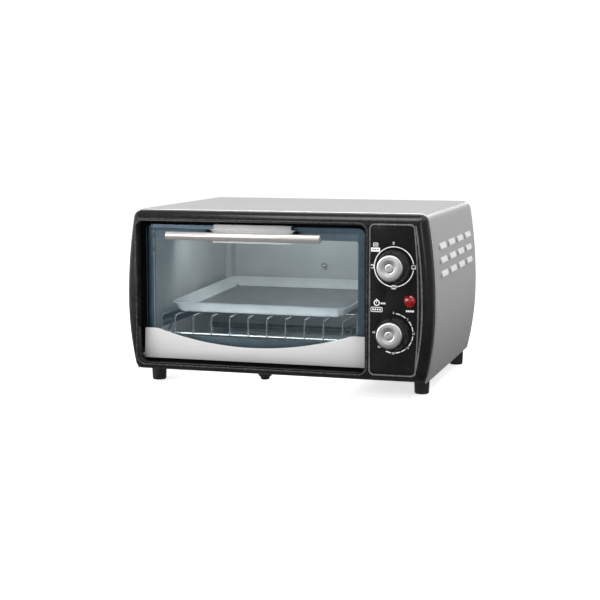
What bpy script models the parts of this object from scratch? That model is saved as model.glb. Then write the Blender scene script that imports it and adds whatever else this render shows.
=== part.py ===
"""Small two-knob toaster oven: steel case, black front frame, drop-down glass door.

Units are metres, +X is to the right seen from the front, +Y runs to the back, +Z is up.
The origin is on the ground, at the middle of the oven's bounding box.
Depths are written from the case's front edge and shifted once by depth().
"""

import math

import bmesh
import bpy
from mathutils import Euler, Matrix, Vector

# ---------------------------------------------------------------- driving dimensions

# Overall depth, measured from the case's front edge (negative is in front of it).
HANDLE_FRONT = -0.03765
REAR_BULGE_BACK = 0.278
CASE_FRONT = -(HANDLE_FRONT + REAR_BULGE_BACK) / 2

# Case section: sides bow out to their widest a little below mid height.
CASE_TOP = 0.2055
CASE_BOTTOM = 0.0188
CASE_WIDEST_Z = 0.0998
CASE_WIDEST_HALF = 0.1810
CASE_TOP_HALF = 0.17125
CASE_BOTTOM_HALF = 0.1711
CASE_TOP_RADIUS = 0.011
CASE_BOTTOM_RADIUS = 0.010
CASE_DEPTH = 0.261
CASE_SHEET = 0.0009
GAP = 0.0003

# Side louvres: three rows of four hoods on each side.
REAR_BULGE = (-0.149, 0.0875, 0.056, 0.178)
REAR_SLOTS = (0.108, 0.156, 0.0985)
REAR_SLOT_PITCH = 0.009
REAR_SLOT_COUNT = 8

LOUVRE_LENGTH = 0.044
LOUVRE_HEIGHT = 0.0064
LOUVRE_PROUD = 0.0014
LOUVRE_ROWS = (0.136, 0.1515, 0.167)
LOUVRE_DEPTHS = (0.052, 0.106, 0.160, 0.214)

# Front frame moulding and its door opening.
BEZEL_FRONT = -0.014
BEZEL_STEP = 0.0014
BEZEL_ROUNDING = 0.0115
OPENING = (-0.1640, 0.1045, 0.029, 0.1925)
OPENING_RADIUS = 0.008
PANEL_LEFT = 0.1108
PANEL_RIGHT = 0.1625
PANEL_BOW = 0.0048
PANEL_BOTTOM = 0.0295
PANEL_TOP = 0.1926
PANEL_RADIUS = 0.005
PANEL_FACE = -0.0136
PANEL_THICKNESS = 0.0014

# Controls.
KNOB_X = 0.1365
FUNCTION_Z = 0.148
TIMER_Z = 0.0752
KNOB_RADIUS = 0.0184
KNOB_FACE_RADIUS = 0.0154
KNOB_FACE = -0.0368
CAP_RADIUS = 0.0144
CAP_THICKNESS = 0.003
SHAFT_RADIUS = 0.003
LAMP_X = 0.1545
LAMP_Z = 0.111
LAMP_RADIUS = 0.007
LAMP_RISE = 0.0046
SWITCH_HALF = 0.0175
SWITCH_LENGTH = 0.025
TIMER_HALF = 0.0225
TIMER_LENGTH = 0.034

# Door: a glass plate that turns about pins at its lower edge.
GLASS = (-0.1595, 0.0995, 0.0325, 0.1875)
GLASS_FRONT = 0.001
GLASS_BACK = 0.005
GLASS_RADIUS = 0.007
DOOR_MIDDLE = (GLASS[0] + GLASS[1]) / 2
HINGE_DEPTH = 0.003
HINGE_Z = 0.035
PIN_RADIUS = 0.0019
TRIM_TOP = 0.0675
TRIM_DIP = 0.049
TRIM_DIP_HALF = 0.1155
TRIM_OVERHANG = (0.0017, 0.0027)
TAB_OVERHANG = 0.0029

HANDLE_DEPTH = -0.033
HANDLE_Z = 0.1776
HANDLE_RADIUS = 0.00465
HANDLE_ENDS = (-0.1205, 0.059)
BRACKET_SHEET = 0.0014
BRACKET_OUTLINE = ((-0.0475, 0.1680), (0.0445, 0.1680), (0.0515, 0.1810), (0.0500, 0.1830),
                   (0.0458, 0.1836), (0.0458, 0.1888), (-0.0458, 0.1888), (-0.0458, 0.1836),
                   (-0.0500, 0.1830), (-0.0515, 0.1810))
STANDOFF_OFFSET = 0.052
STANDOFF_BASE = (0.0100, 0.0112)
STANDOFF_STEM = (0.0084, 0.0098)

# Cavity.
MOUTH = (-0.1525, 0.091, 0.058, 0.1726)
MOUTH_RADIUS = 0.003
FRAME_FRONT = 0.008
FRAME_SHEET = 0.001
COLLAR_BACK = 0.0125
WALL_LEFT = -0.1533
WALL_RIGHT = 0.0918
WALL_SHEET = 0.0008
WALL_BOTTOM = 0.0235
CEILING = 0.1812
CAVITY_FRONT = 0.0132
CAVITY_BACK = 0.2570
BACK_WALL_BULGE = 0.2676
BACK_WALL_DISH = (-0.1465, 0.0850, 0.058, 0.1752)
BACK_WALL_DRAFT = 0.003

# Heating elements: (depth, height), straight tubes across the cavity.
HEATER_RADIUS = 0.0035
HEATERS = {
    "heater_upper_front": (0.070, 0.1722),
    "heater_upper_rear": (0.200, 0.1722),
    "heater_lower_front": (0.062, 0.0440),
    "heater_lower_rear": (0.196, 0.0440),
}
FERRULE_RADIUS = 0.0058
FERRULE_FLANGE = 0.0078

# Wire rack.
WIRE_RADIUS = 0.0011
RACK_WIRES_Z = 0.0802
RACK_FRONT = 0.020
RACK_REAR = 0.250
RACK_LIP_Z = 0.0597
RACK_MIDDLE_X = -0.03075
RACK_OUTER_HALF = 0.11785
RACK_SECOND_HALF = 0.10125
RACK_PITCH = 0.0225
RACK_STOP_Z = 0.0864
RACK_CROSS_WIRES = (0.100, 0.168, 0.236)
RACK_BEND = 0.004
RAIL_TOP = 0.0769
RAIL_HEIGHT = 0.012
RAIL_LEDGE = 0.0085
RAIL_SHEET = 0.0009
RAIL_DEPTHS = (0.030, 0.248)
HOOK_SHEET = 0.0014
HOOK_OUTLINE = ((0.0053, 0.0732), (0.0270, 0.0732), (0.0298, 0.0722), (0.0300, 0.0702),
                (0.0225, 0.0658), (0.0197, 0.0636), (0.0213, 0.0624), (0.0285, 0.0657),
                (0.0325, 0.0700), (0.0325, 0.0735), (0.0290, 0.0760), (0.0053, 0.0762))

# Baking tray, tipped forward by the rack's rear stop.
TRAY_CENTRE = (-0.0365, 0.1470)
TRAY_SIZE = (0.216, 0.2270)
TRAY_FRONT_RIM_Z = 0.0943
TRAY_HEIGHT = 0.013
TRAY_TILT = math.radians(1.77)
TRAY_RADIUS = 0.013

# Crumb tray, a shallow pan that closes the bottom and swings down from its rear edge.
CRUMB = (-0.139, 0.079, 0.021, 0.234)
CRUMB_BOTTOM = 0.0214
CRUMB_TOP = 0.031
CRUMB_HINGE = (0.2348, 0.0222)
BASE_BOTTOM = 0.0212
BASE_SHEET = 0.001
CRUMB_CLEARANCE = 0.002
BASE_VENTS = (0.104, 0.114, 0.124, 0.134, 0.144)
BASE_VENT_DEPTHS = (0.070, 0.130)
CRUMB_KNOB = (-0.0305, 0.047)

FEET = {
    "foot_front_left": (-0.1605, 0.039),
    "foot_front_right": (0.1580, 0.039),
    "foot_rear_left": (-0.1605, 0.242),
    "foot_rear_right": (0.1605, 0.242),
}
FOOT_HEIGHT = BASE_BOTTOM - GAP
FOOT_RADIUS = 0.00925

THERMAL_X = -0.020
THERMAL_Z = 0.117
GLAND_X = 0.140
GLAND_Z = 0.050

# ---------------------------------------------------------------- scene and materials


def clear_scene():
    for obj in list(bpy.data.objects):
        bpy.data.objects.remove(obj, do_unlink=True)


def new_collection(name):
    collection = bpy.data.collections.new(name)
    bpy.context.scene.collection.children.link(collection)
    return collection


clear_scene()
PARTS = new_collection("toaster_oven")
CUTTERS = new_collection("cutters")


def material(name, colour, roughness, metallic=0.0):
    mat = bpy.data.materials.new(name)
    mat.use_nodes = True
    shader = mat.node_tree.nodes["Principled BSDF"]
    shader.inputs["Base Color"].default_value = (*colour, 1.0)
    shader.inputs["Roughness"].default_value = roughness
    shader.inputs["Metallic"].default_value = metallic
    mat.diffuse_color = (*colour, 1.0)
    return mat


SILVER = ((0.52, 0.52, 0.52), 0.38, 0.6)
GALVANISED = ((0.42, 0.44, 0.45), 0.45, 0.9)
ALUMINISED = ((0.36, 0.42, 0.42), 0.42, 0.7)
BLACK_GLOSS = ((0.012, 0.012, 0.013), 0.28, 0.0)
BLACK_MATT = ((0.014, 0.014, 0.015), 0.55, 0.0)
CHROME = ((0.72, 0.72, 0.72), 0.14, 1.0)
STEEL = ((0.60, 0.60, 0.60), 0.28, 1.0)
BRIGHT_TRIM = ((0.62, 0.62, 0.65), 0.32, 0.4)
TRAY_METAL = ((0.46, 0.47, 0.48), 0.36, 0.9)
CERAMIC = ((0.70, 0.68, 0.62), 0.5, 0.0)
ELEMENT = ((0.20, 0.21, 0.22), 0.4, 0.6)
PHENOLIC = ((0.10, 0.06, 0.04), 0.5, 0.0)

# ---------------------------------------------------------------- placing and shaping


def depth(distance_behind_case_front):
    """Y of a point given its distance behind the case's front edge."""
    return CASE_FRONT + distance_behind_case_front


def place(obj, location=(0, 0, 0), rotation=(0, 0, 0)):
    obj.location = location
    obj.rotation_euler = rotation
    return obj


def add_part(name, mesh, finish, location=(0, 0, 0), rotation=(0, 0, 0)):
    """One named piece with a material of its own."""
    colour, roughness, metallic = finish
    obj = bpy.data.objects.new(name, mesh)
    PARTS.objects.link(obj)
    mesh.materials.clear()
    mesh.materials.append(material(name + "_material", colour, roughness, metallic))
    return place(obj, location, rotation)


def add_cutter(name, mesh, location=(0, 0, 0), rotation=(0, 0, 0)):
    obj = bpy.data.objects.new(name, mesh)
    CUTTERS.objects.link(obj)
    obj.hide_render = True
    obj.display_type = "WIRE"
    return place(obj, location, rotation)


def boolean(target, tool, operation="DIFFERENCE"):
    modifier = target.modifiers.new(operation.lower(), "BOOLEAN")
    modifier.operation = operation
    modifier.solver = "EXACT"
    modifier.object = tool
    return target


def solidify(obj, thickness, offset=-1.0):
    modifier = obj.modifiers.new("sheet", "SOLIDIFY")
    modifier.thickness = thickness
    modifier.offset = offset
    modifier.use_even_offset = True
    return obj


def shade_smooth(obj, angle=35):
    obj.data.shade_smooth()
    obj.data.set_sharp_from_angle(angle=math.radians(angle))
    return obj


def rounded_rectangle(x0, x1, z0, z1, radius, steps=4):
    """Counter-clockwise outline with arc corners."""
    points = []
    for x, z, start in ((x1, z0, -90), (x1, z1, 0), (x0, z1, 90), (x0, z0, 180)):
        centre_x = x - radius if x == x1 else x + radius
        centre_z = z - radius if z == z1 else z + radius
        for step in range(steps + 1):
            angle = math.radians(start + 90 * step / steps)
            points.append((centre_x + radius * math.cos(angle),
                           centre_z + radius * math.sin(angle)))
    return points


def circle(x, z, radius, steps=16, squash=1.0):
    return [(x + radius * math.cos(2 * math.pi * i / steps),
             z + radius * squash * math.sin(2 * math.pi * i / steps)) for i in range(steps)]


def curve_mesh(curve):
    """The curve's evaluated mesh, with its caps or faces welded into one skin."""
    holder = bpy.data.objects.new("curve_holder", curve)
    bpy.context.scene.collection.objects.link(holder)
    evaluated = holder.evaluated_get(bpy.context.evaluated_depsgraph_get())
    mesh = bpy.data.meshes.new_from_object(evaluated)
    bpy.data.objects.remove(holder)
    bpy.data.curves.remove(curve)
    bm = bmesh.new()
    bm.from_mesh(mesh)
    bmesh.ops.remove_doubles(bm, verts=bm.verts, dist=0.000005)
    bmesh.ops.recalc_face_normals(bm, faces=bm.faces)
    bm.to_mesh(mesh)
    bm.free()
    return mesh


def add_spline(curve, points, cyclic):
    spline = curve.splines.new("POLY")
    spline.points.add(len(points) - 1)
    for target, point in zip(spline.points, points):
        target.co = (*point, 1.0) if len(point) == 3 else (*point, 0.0, 1.0)
    spline.use_cyclic_u = cyclic


def plate_mesh(loops, thickness):
    """Flat plate: the first loop is its outline, the others are holes."""
    curve = bpy.data.curves.new("outline", "CURVE")
    curve.dimensions = "2D"
    curve.fill_mode = "BOTH"
    curve.extrude = thickness / 2
    for loop in loops:
        add_spline(curve, loop, True)
    return curve_mesh(curve)


def wire_mesh(paths, radius, resolution=2):
    """Round wires along open paths, with flat ends."""
    curve = bpy.data.curves.new("wires", "CURVE")
    curve.dimensions = "3D"
    curve.bevel_depth = radius
    curve.bevel_resolution = resolution
    curve.use_fill_caps = True
    for path in paths:
        add_spline(curve, path, False)
    return curve_mesh(curve)


FACING_FRONT = (math.pi / 2, 0, 0)
FACING_SIDE = (math.pi / 2, 0, math.pi / 2)


def upright_plate(name, loops, front, back, finish):
    """Plate in the XZ plane between two depths."""
    middle = depth((front + back) / 2)
    return add_part(name, plate_mesh(loops, back - front), finish, (0, middle, 0), FACING_FRONT)


def side_plate(name, loops, x0, x1, finish):
    """Plate in the YZ plane; its loops are (depth, height) points."""
    return add_part(name, plate_mesh(loops, x1 - x0), finish,
                    ((x0 + x1) / 2, CASE_FRONT, 0), FACING_SIDE)


def upright_cutter(name, loop, front, back):
    middle = depth((front + back) / 2)
    return add_cutter(name, plate_mesh([loop], back - front), (0, middle, 0), FACING_FRONT)


def box_mesh(size):
    mesh = bpy.data.meshes.new("box")
    bm = bmesh.new()
    bmesh.ops.create_cube(bm, size=1.0, matrix=Matrix.Diagonal((*size, 1.0)))
    bm.to_mesh(mesh)
    bm.free()
    return mesh


def box_part(name, x, y, z, finish, bevel=0.0):
    """Block between pairs of x, depth and z; bevel rounds every edge."""
    size = (x[1] - x[0], y[1] - y[0], z[1] - z[0])
    centre = ((x[0] + x[1]) / 2, depth((y[0] + y[1]) / 2), (z[0] + z[1]) / 2)
    obj = add_part(name, box_mesh(size), finish, centre)
    if bevel:
        modifier = obj.modifiers.new("edges", "BEVEL")
        modifier.width = bevel
        modifier.segments = 2
    return obj


def turned_mesh(profile, closed=False):
    """Edges of a half section in the XZ plane, listed down the outer side."""
    mesh = bpy.data.meshes.new("profile")
    count = len(profile)
    edges = [(i, i + 1) for i in range(count - 1)]
    if closed:
        edges.append((count - 1, 0))
    mesh.from_pydata([(r, 0.0, z) for r, z in profile], edges, [])
    return mesh


def screw(obj, steps):
    modifier = obj.modifiers.new("turn", "SCREW")
    modifier.steps = steps
    modifier.render_steps = steps
    modifier.use_merge_vertices = True
    modifier.merge_threshold = 0.000005
    modifier.use_smooth_shade = True
    return obj


def turned_part(name, profile, finish, location, rotation=(0, 0, 0), steps=24, closed=False):
    return screw(add_part(name, turned_mesh(profile, closed), finish, location, rotation), steps)


def loft_mesh(rings, cap_first, cap_last):
    """Skin over matching closed rings of 3D points."""
    mesh = bpy.data.meshes.new("loft")
    bm = bmesh.new()
    rows = [[bm.verts.new(point) for point in ring] for ring in rings]
    for upper, lower in zip(rows, rows[1:]):
        count = len(upper)
        for i in range(count):
            j = (i + 1) % count
            bm.faces.new((upper[i], upper[j], lower[j], lower[i]))
    if cap_first:
        bm.faces.new(rows[0])
    if cap_last:
        bm.faces.new(rows[-1])
    bmesh.ops.recalc_face_normals(bm, faces=bm.faces)
    bm.to_mesh(mesh)
    bm.free()
    return mesh


def attach(axis_name, location, pieces):
    """Hang pieces on an empty that stands on their joint's axis."""
    axis = bpy.data.objects.new(axis_name, None)
    PARTS.objects.link(axis)
    axis.location = location
    for piece in pieces:
        piece.location = Vector(piece.location) - Vector(location)
        piece.parent = axis


# ---------------------------------------------------------------- case


def side_half_width(z):
    """Half width of the bowed case at height z."""
    if z > CASE_WIDEST_Z:
        share = (z - CASE_WIDEST_Z) / (CASE_TOP - CASE_WIDEST_Z)
        return CASE_WIDEST_HALF - (CASE_WIDEST_HALF - CASE_TOP_HALF) * share ** 2
    share = (CASE_WIDEST_Z - z) / (CASE_WIDEST_Z - CASE_BOTTOM)
    return CASE_WIDEST_HALF - (CASE_WIDEST_HALF - CASE_BOTTOM_HALF) * share ** 2


def side_slope(z):
    """Outward lean of the side: how fast its half width grows with height."""
    step = 0.0005
    return (side_half_width(z + step) - side_half_width(z - step)) / (2 * step)


def right_outline(inset, bottom_radius, side_steps=9, corner_steps=4):
    """Right half of the case outline, from the bottom up to the top, offset inwards."""
    points = []
    top_radius = max(CASE_TOP_RADIUS - inset, 0.0015)
    top_lean = math.atan(-side_slope(CASE_TOP - CASE_TOP_RADIUS))
    top_join = CASE_TOP - inset - top_radius * (1 - math.sin(top_lean))
    bottom_join = CASE_BOTTOM + inset
    if bottom_radius:
        radius = max(bottom_radius - inset, 0.0015)
        lean = math.atan(side_slope(CASE_BOTTOM + bottom_radius))
        bottom_join = CASE_BOTTOM + inset + radius * (1 - math.sin(lean))
        centre_x = side_half_width(bottom_join) - inset - radius * math.cos(lean)
        centre_z = CASE_BOTTOM + inset + radius
        for step in range(corner_steps):
            angle = -math.pi / 2 + (math.pi / 2 - lean) * step / corner_steps
            points.append((centre_x + radius * math.cos(angle),
                           centre_z + radius * math.sin(angle)))
    for step in range(side_steps + 1):
        z = bottom_join + (top_join - bottom_join) * step / side_steps
        points.append((side_half_width(z) - inset, z))
    centre_x = side_half_width(top_join) - inset - top_radius * math.cos(top_lean)
    centre_z = CASE_TOP - inset - top_radius
    for step in range(1, corner_steps + 1):
        angle = top_lean + (math.pi / 2 - top_lean) * step / corner_steps
        points.append((centre_x + top_radius * math.cos(angle),
                       centre_z + top_radius * math.sin(angle)))
    return points


def full_outline(inset, bottom_radius=CASE_BOTTOM_RADIUS):
    """Closed outline of the case section, offset inwards."""
    right = right_outline(inset, bottom_radius)
    left = [(-x, z) for x, z in reversed(right)]
    return right + left


def louvre_copies(section, length, name):
    """The same louvre section at every place on both sides, as one cutter."""
    single = plate_mesh([section], length)
    bm = bmesh.new()
    turn = Euler(FACING_FRONT).to_matrix().to_4x4()
    for side in (1, -1):
        for z in LOUVRE_ROWS:
            lean = Matrix.Rotation(math.atan(side_slope(z)), 4, "Y")
            for back in LOUVRE_DEPTHS:
                place_at = Matrix.Translation((side * side_half_width(z), depth(back), z))
                mirror = Matrix.Diagonal((side, 1, 1, 1))
                start = len(bm.verts)
                bm.from_mesh(single)
                bm.verts.ensure_lookup_table()
                moved = bm.verts[start:]
                bmesh.ops.transform(bm, matrix=place_at @ mirror @ lean @ turn, verts=moved)
    bmesh.ops.recalc_face_normals(bm, faces=bm.faces)
    mesh = bpy.data.meshes.new(name)
    bm.to_mesh(mesh)
    bm.free()
    return add_cutter(name, mesh)


def make_outer_case():
    right = right_outline(0.0, 0.0, side_steps=14, corner_steps=5)
    path = right + [(-x, z) for x, z in reversed(right)]
    length = CASE_DEPTH - GAP
    curve = bpy.data.curves.new("wrap", "CURVE")
    curve.dimensions = "3D"
    curve.extrude = length / 2
    add_spline(curve, [(x, z, 0.0) for x, z in path], False)
    case = add_part("outer_case", curve_mesh(curve), SILVER,
                    (0, depth(GAP + length / 2), 0), FACING_FRONT)
    if sum(face.normal.y for face in case.data.polygons) < 0:
        case.data.flip_normals()
    solidify(case, CASE_SHEET)
    half = LOUVRE_HEIGHT / 2
    hood = [(-0.0004, -half), (LOUVRE_PROUD, -half), (LOUVRE_PROUD, -half + 0.0012),
            (LOUVRE_PROUD * 0.55, half - 0.0018), (0.0001, half), (-0.0004, half)]
    slot = [(-0.0030, -half - 0.0005), (LOUVRE_PROUD - 0.0006, -half - 0.0005),
            (LOUVRE_PROUD - 0.0006, -half + 0.0010), (-0.0002, half - 0.0022),
            (-0.0030, half - 0.0022)]
    boolean(case, louvre_copies(hood, LOUVRE_LENGTH, "louvre_hoods"), "UNION")
    boolean(case, louvre_copies(slot, LOUVRE_LENGTH - 0.0024, "louvre_slots"))
    return case


def make_rear_cover():
    front = CASE_DEPTH - 0.0018
    back = front + 0.0009
    flange = 0.004
    slot_left, slot_right, lowest = REAR_SLOTS
    slots = [rounded_rectangle(slot_left, slot_right, z, z + 0.003, 0.0014, 2)
             for z in (lowest + REAR_SLOT_PITCH * row for row in range(REAR_SLOT_COUNT))]
    hole = rounded_rectangle(*REAR_BULGE, 0.012)
    gland = circle(GLAND_X, GLAND_Z, 0.0078)
    cover = upright_plate("rear_cover",
                          [full_outline(CASE_SHEET + 0.0005), hole, gland] + slots,
                          front, back, GALVANISED)
    x0, x1, z0, z1 = REAR_BULGE
    levels = ((-flange, front + 0.0001), (0.0002, front + 0.0001), (0.0045, REAR_BULGE_BACK - 0.003),
              (0.0075, REAR_BULGE_BACK))
    rings = []
    for inset, back_y in levels:
        ring = rounded_rectangle(x0 + inset, x1 - inset, z0 + inset, z1 - inset,
                                 0.012 - max(inset, -0.001) * 0.5)
        rings.append([(x, depth(back_y), z) for x, z in ring])
    pressed = add_cutter("rear_bulge", loft_mesh(rings, False, True))
    solidify(pressed, 0.0007, 1.0 if pressed.data.polygons[-1].normal.y < 0 else -1.0)
    return boolean(cover, pressed, "UNION")


def make_base_plate():
    half = side_half_width(BASE_BOTTOM) - CASE_SHEET - 0.0005
    outline = rounded_rectangle(-half, half, depth(FRAME_FRONT + FRAME_SHEET + 0.0008),
                                depth(CASE_DEPTH - 0.0025), 0.004, 2)
    x0, x1, y0, y1 = CRUMB
    gap = CRUMB_CLEARANCE
    opening = rounded_rectangle(x0 - gap, x1 + gap, depth(y0 - gap), depth(y1 + gap), 0.004, 2)
    front, back = BASE_VENT_DEPTHS
    vents = [rounded_rectangle(x, x + 0.0035, depth(front), depth(back), 0.0015, 2)
             for x in BASE_VENTS]
    mesh = plate_mesh([outline, opening] + vents, BASE_SHEET)
    return add_part("base_plate", mesh, GALVANISED, (0, 0, BASE_BOTTOM + BASE_SHEET / 2))


def make_front_bezel():
    """Black moulding: rounded outer edge, door opening, panel recess, hollow behind the panel."""
    steps = 5
    levels = [(BEZEL_STEP, 0.0)]
    for step in range(steps + 1):
        angle = math.pi / 2 * step / steps
        levels.append((BEZEL_STEP + BEZEL_ROUNDING * (1 - math.cos(angle)),
                       BEZEL_FRONT + BEZEL_ROUNDING * (1 - math.sin(angle))))
    rings = [[(x, depth(y), z) for x, z in full_outline(inset)] for inset, y in levels]
    bezel = add_part("front_bezel", loft_mesh(rings, True, True), BLACK_GLOSS)
    shade_smooth(bezel)
    opening = rounded_rectangle(*OPENING, OPENING_RADIUS)
    boolean(bezel, upright_cutter("opening_cutter", opening, BEZEL_FRONT - 0.005, 0.005))
    recess_floor = PANEL_FACE + PANEL_THICKNESS + 0.0002
    boolean(bezel, upright_cutter("panel_recess_cutter", panel_outline(-0.0004),
                                  BEZEL_FRONT - 0.005, recess_floor))
    boolean(bezel, upright_cutter("bezel_hollow_cutter", panel_outline(-0.001),
                                  recess_floor + 0.0016, 0.005))
    for name, x, z, radius in (("function", KNOB_X, FUNCTION_Z, 0.0048),
                               ("timer", KNOB_X, TIMER_Z, 0.0048),
                               ("lamp", LAMP_X, LAMP_Z, 0.0064)):
        hole = circle(x, z, radius)
        boolean(bezel, upright_cutter(name + "_bezel_cutter", hole,
                                      recess_floor - 0.001, recess_floor + 0.003))
    return bezel


def panel_side(z):
    """X of the panel's gently bowed right edge."""
    share = (z - CASE_WIDEST_Z) / (PANEL_TOP - CASE_WIDEST_Z)
    return PANEL_RIGHT - PANEL_BOW * share ** 2


def panel_outline(inset):
    """Panel outline: straight left, top and bottom, bowed right side."""
    bottom = PANEL_BOTTOM + inset
    top = PANEL_TOP - inset
    left = PANEL_LEFT + inset
    radius = PANEL_RADIUS
    points = []

    def arc(centre_x, centre_z, start, end, steps=3):
        for step in range(steps + 1):
            angle = math.radians(start + (end - start) * step / steps)
            points.append((centre_x + radius * math.cos(angle),
                           centre_z + radius * math.sin(angle)))

    arc(panel_side(bottom + radius) - inset - radius, bottom + radius, -90, 0)
    steps = 7
    for step in range(1, steps):
        z = bottom + radius + (top - bottom - 2 * radius) * step / steps
        points.append((panel_side(z) - inset, z))
    arc(panel_side(top - radius) - inset - radius, top - radius, 0, 90)
    arc(left + radius, top - radius, 90, 180)
    arc(left + radius, bottom + radius, 180, 270)
    return points


def make_control_panel():
    holes = [circle(KNOB_X, FUNCTION_Z, 0.0040), circle(KNOB_X, TIMER_Z, 0.0040),
             circle(LAMP_X, LAMP_Z, 0.0060)]
    return upright_plate("control_panel", [panel_outline(0.0)] + holes,
                         PANEL_FACE, PANEL_FACE + PANEL_THICKNESS - 0.0001, BLACK_MATT)


def make_front_frame():
    """Steel plate behind the door with a collar turned back around the cavity's mouth."""
    mouth = rounded_rectangle(*MOUTH, MOUTH_RADIUS)
    holes = [circle(KNOB_X, FUNCTION_Z, 0.006), circle(KNOB_X, TIMER_Z, 0.006),
             circle(LAMP_X, LAMP_Z, 0.007)]
    plate = upright_plate("front_frame", [full_outline(0.0022), mouth] + holes,
                          FRAME_FRONT, FRAME_FRONT + FRAME_SHEET, GALVANISED)
    x0, x1, z0, z1 = MOUTH
    grow = 0.0007
    outer = rounded_rectangle(x0 - grow, x1 + grow, z0 - grow, z1 + grow, MOUTH_RADIUS + grow)
    middle = depth((FRAME_FRONT + 0.0004 + COLLAR_BACK) / 2)
    collar = add_cutter("mouth_collar",
                        plate_mesh([outer, mouth], COLLAR_BACK - FRAME_FRONT - 0.0004),
                        (0, middle, 0), FACING_FRONT)
    return boolean(plate, collar, "UNION")


# ---------------------------------------------------------------- cavity


def make_cavity_walls():
    holes = [circle(y, z, FERRULE_RADIUS + GAP, 12) for y, z in HEATERS.values()]
    outline = [(CAVITY_FRONT, WALL_BOTTOM), (CAVITY_BACK, WALL_BOTTOM),
               (CAVITY_BACK, CEILING - GAP), (CAVITY_FRONT, CEILING - GAP)]
    side_plate("cavity_left_wall", [outline] + holes, WALL_LEFT - WALL_SHEET, WALL_LEFT, ALUMINISED)
    side_plate("cavity_right_wall", [outline] + holes, WALL_RIGHT, WALL_RIGHT + WALL_SHEET,
               ALUMINISED)
    box_part("cavity_ceiling", (WALL_LEFT - WALL_SHEET, WALL_RIGHT + WALL_SHEET),
             (CAVITY_FRONT, CAVITY_BACK), (CEILING, CEILING + WALL_SHEET), ALUMINISED)
    make_back_wall()


def make_back_wall():
    """Back sheet behind the other walls, dished to the rear so that a tray fits."""
    front = CAVITY_BACK + GAP
    edge = WALL_SHEET
    draft = BACK_WALL_DRAFT
    x0, x1, z0, z1 = BACK_WALL_DISH
    levels = ((WALL_LEFT - edge, WALL_RIGHT + edge, WALL_BOTTOM, CEILING + edge, 0.003, front),
              (x0, x1, z0, z1, 0.010, front),
              (x0 + draft, x1 - draft, z0 + draft, z1 - draft, 0.008, BACK_WALL_BULGE))
    rings = []
    for *edges, radius, back in levels:
        ring = rounded_rectangle(*edges, radius, 3)
        rings.append([(x, depth(back), z) for x, z in ring])
    wall = add_part("cavity_back_wall", loft_mesh(rings, False, True), ALUMINISED)
    faces_front = wall.data.polygons[-1].normal.y < 0
    solidify(wall, 0.0007, -1.0 if faces_front else 1.0)
    hole = circle(THERMAL_X, THERMAL_Z, 0.0021, 12)
    return boolean(wall, upright_cutter("thermal_hole_cutter", hole, 0.262, 0.272))


def make_rack_rails():
    """Angle strips on the side walls, with the rack's cross wires resting on their ledges."""
    for name, wall, inward in (("rack_rail_left", WALL_LEFT, 1), ("rack_rail_right", WALL_RIGHT, -1)):
        a = wall + inward * GAP
        b = a + inward * RAIL_SHEET
        c = a + inward * RAIL_LEDGE
        low = RAIL_TOP - RAIL_HEIGHT
        under = RAIL_TOP - RAIL_SHEET
        section = [(a, low), (b, low), (b, under), (c, under), (c, RAIL_TOP), (a, RAIL_TOP)]
        upright_plate(name, [section], *RAIL_DEPTHS, GALVANISED)


def make_heaters():
    ends = (WALL_LEFT - 0.0085, WALL_RIGHT + 0.0085)
    length = ends[1] - ends[0]
    middle = (ends[0] + ends[1]) / 2
    across = (0, math.pi / 2, 0)
    for name, (y, z) in HEATERS.items():
        half = length / 2
        profile = [(0, half), (0.0014, half), (0.0014, half - 0.004), (HEATER_RADIUS, half - 0.004),
                   (HEATER_RADIUS, 0.004 - half), (0.0014, 0.004 - half), (0.0014, -half), (0, -half)]
        turned_part(name, profile, ELEMENT, (middle, depth(y), z), across, steps=12)
        place_name = name.replace("heater_", "")
        for side, wall, turn in (("left", WALL_LEFT, math.pi / 2), ("right", WALL_RIGHT, -math.pi / 2)):
            bore = HEATER_RADIUS + GAP
            ring = [(bore, 0.0022), (FERRULE_FLANGE, 0.0022), (FERRULE_FLANGE, GAP),
                    (FERRULE_RADIUS, GAP), (FERRULE_RADIUS, -0.0048), (bore, -0.0048)]
            turned_part("ferrule_" + place_name + "_" + side, ring, CERAMIC,
                        (wall, depth(y), z), (0, turn, 0), steps=12, closed=True)


def make_thermal_cutoff():
    facing_back = (-math.pi / 2, 0, 0)
    cup = [(0.0022, 0.0068), (0.0070, 0.0068), (0.0070, 0.0), (0.0022, 0.0)]
    turned_part("thermal_cutoff", cup, PHENOLIC,
                (THERMAL_X, depth(BACK_WALL_BULGE + 0.0011), THERMAL_Z), facing_back, 16, True)
    screw_profile = [(0.0, 0.0075), (0.0017, 0.0075), (0.0017, 0.0002), (0.0034, 0.0002),
                     (0.0034, -0.0004), (0.0024, -0.0016), (0.0, -0.0019)]
    turned_part("thermal_cutoff_screw", screw_profile, STEEL,
                (THERMAL_X, depth(BACK_WALL_BULGE - 0.0006), THERMAL_Z), facing_back, 12)


# ---------------------------------------------------------------- controls


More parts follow.
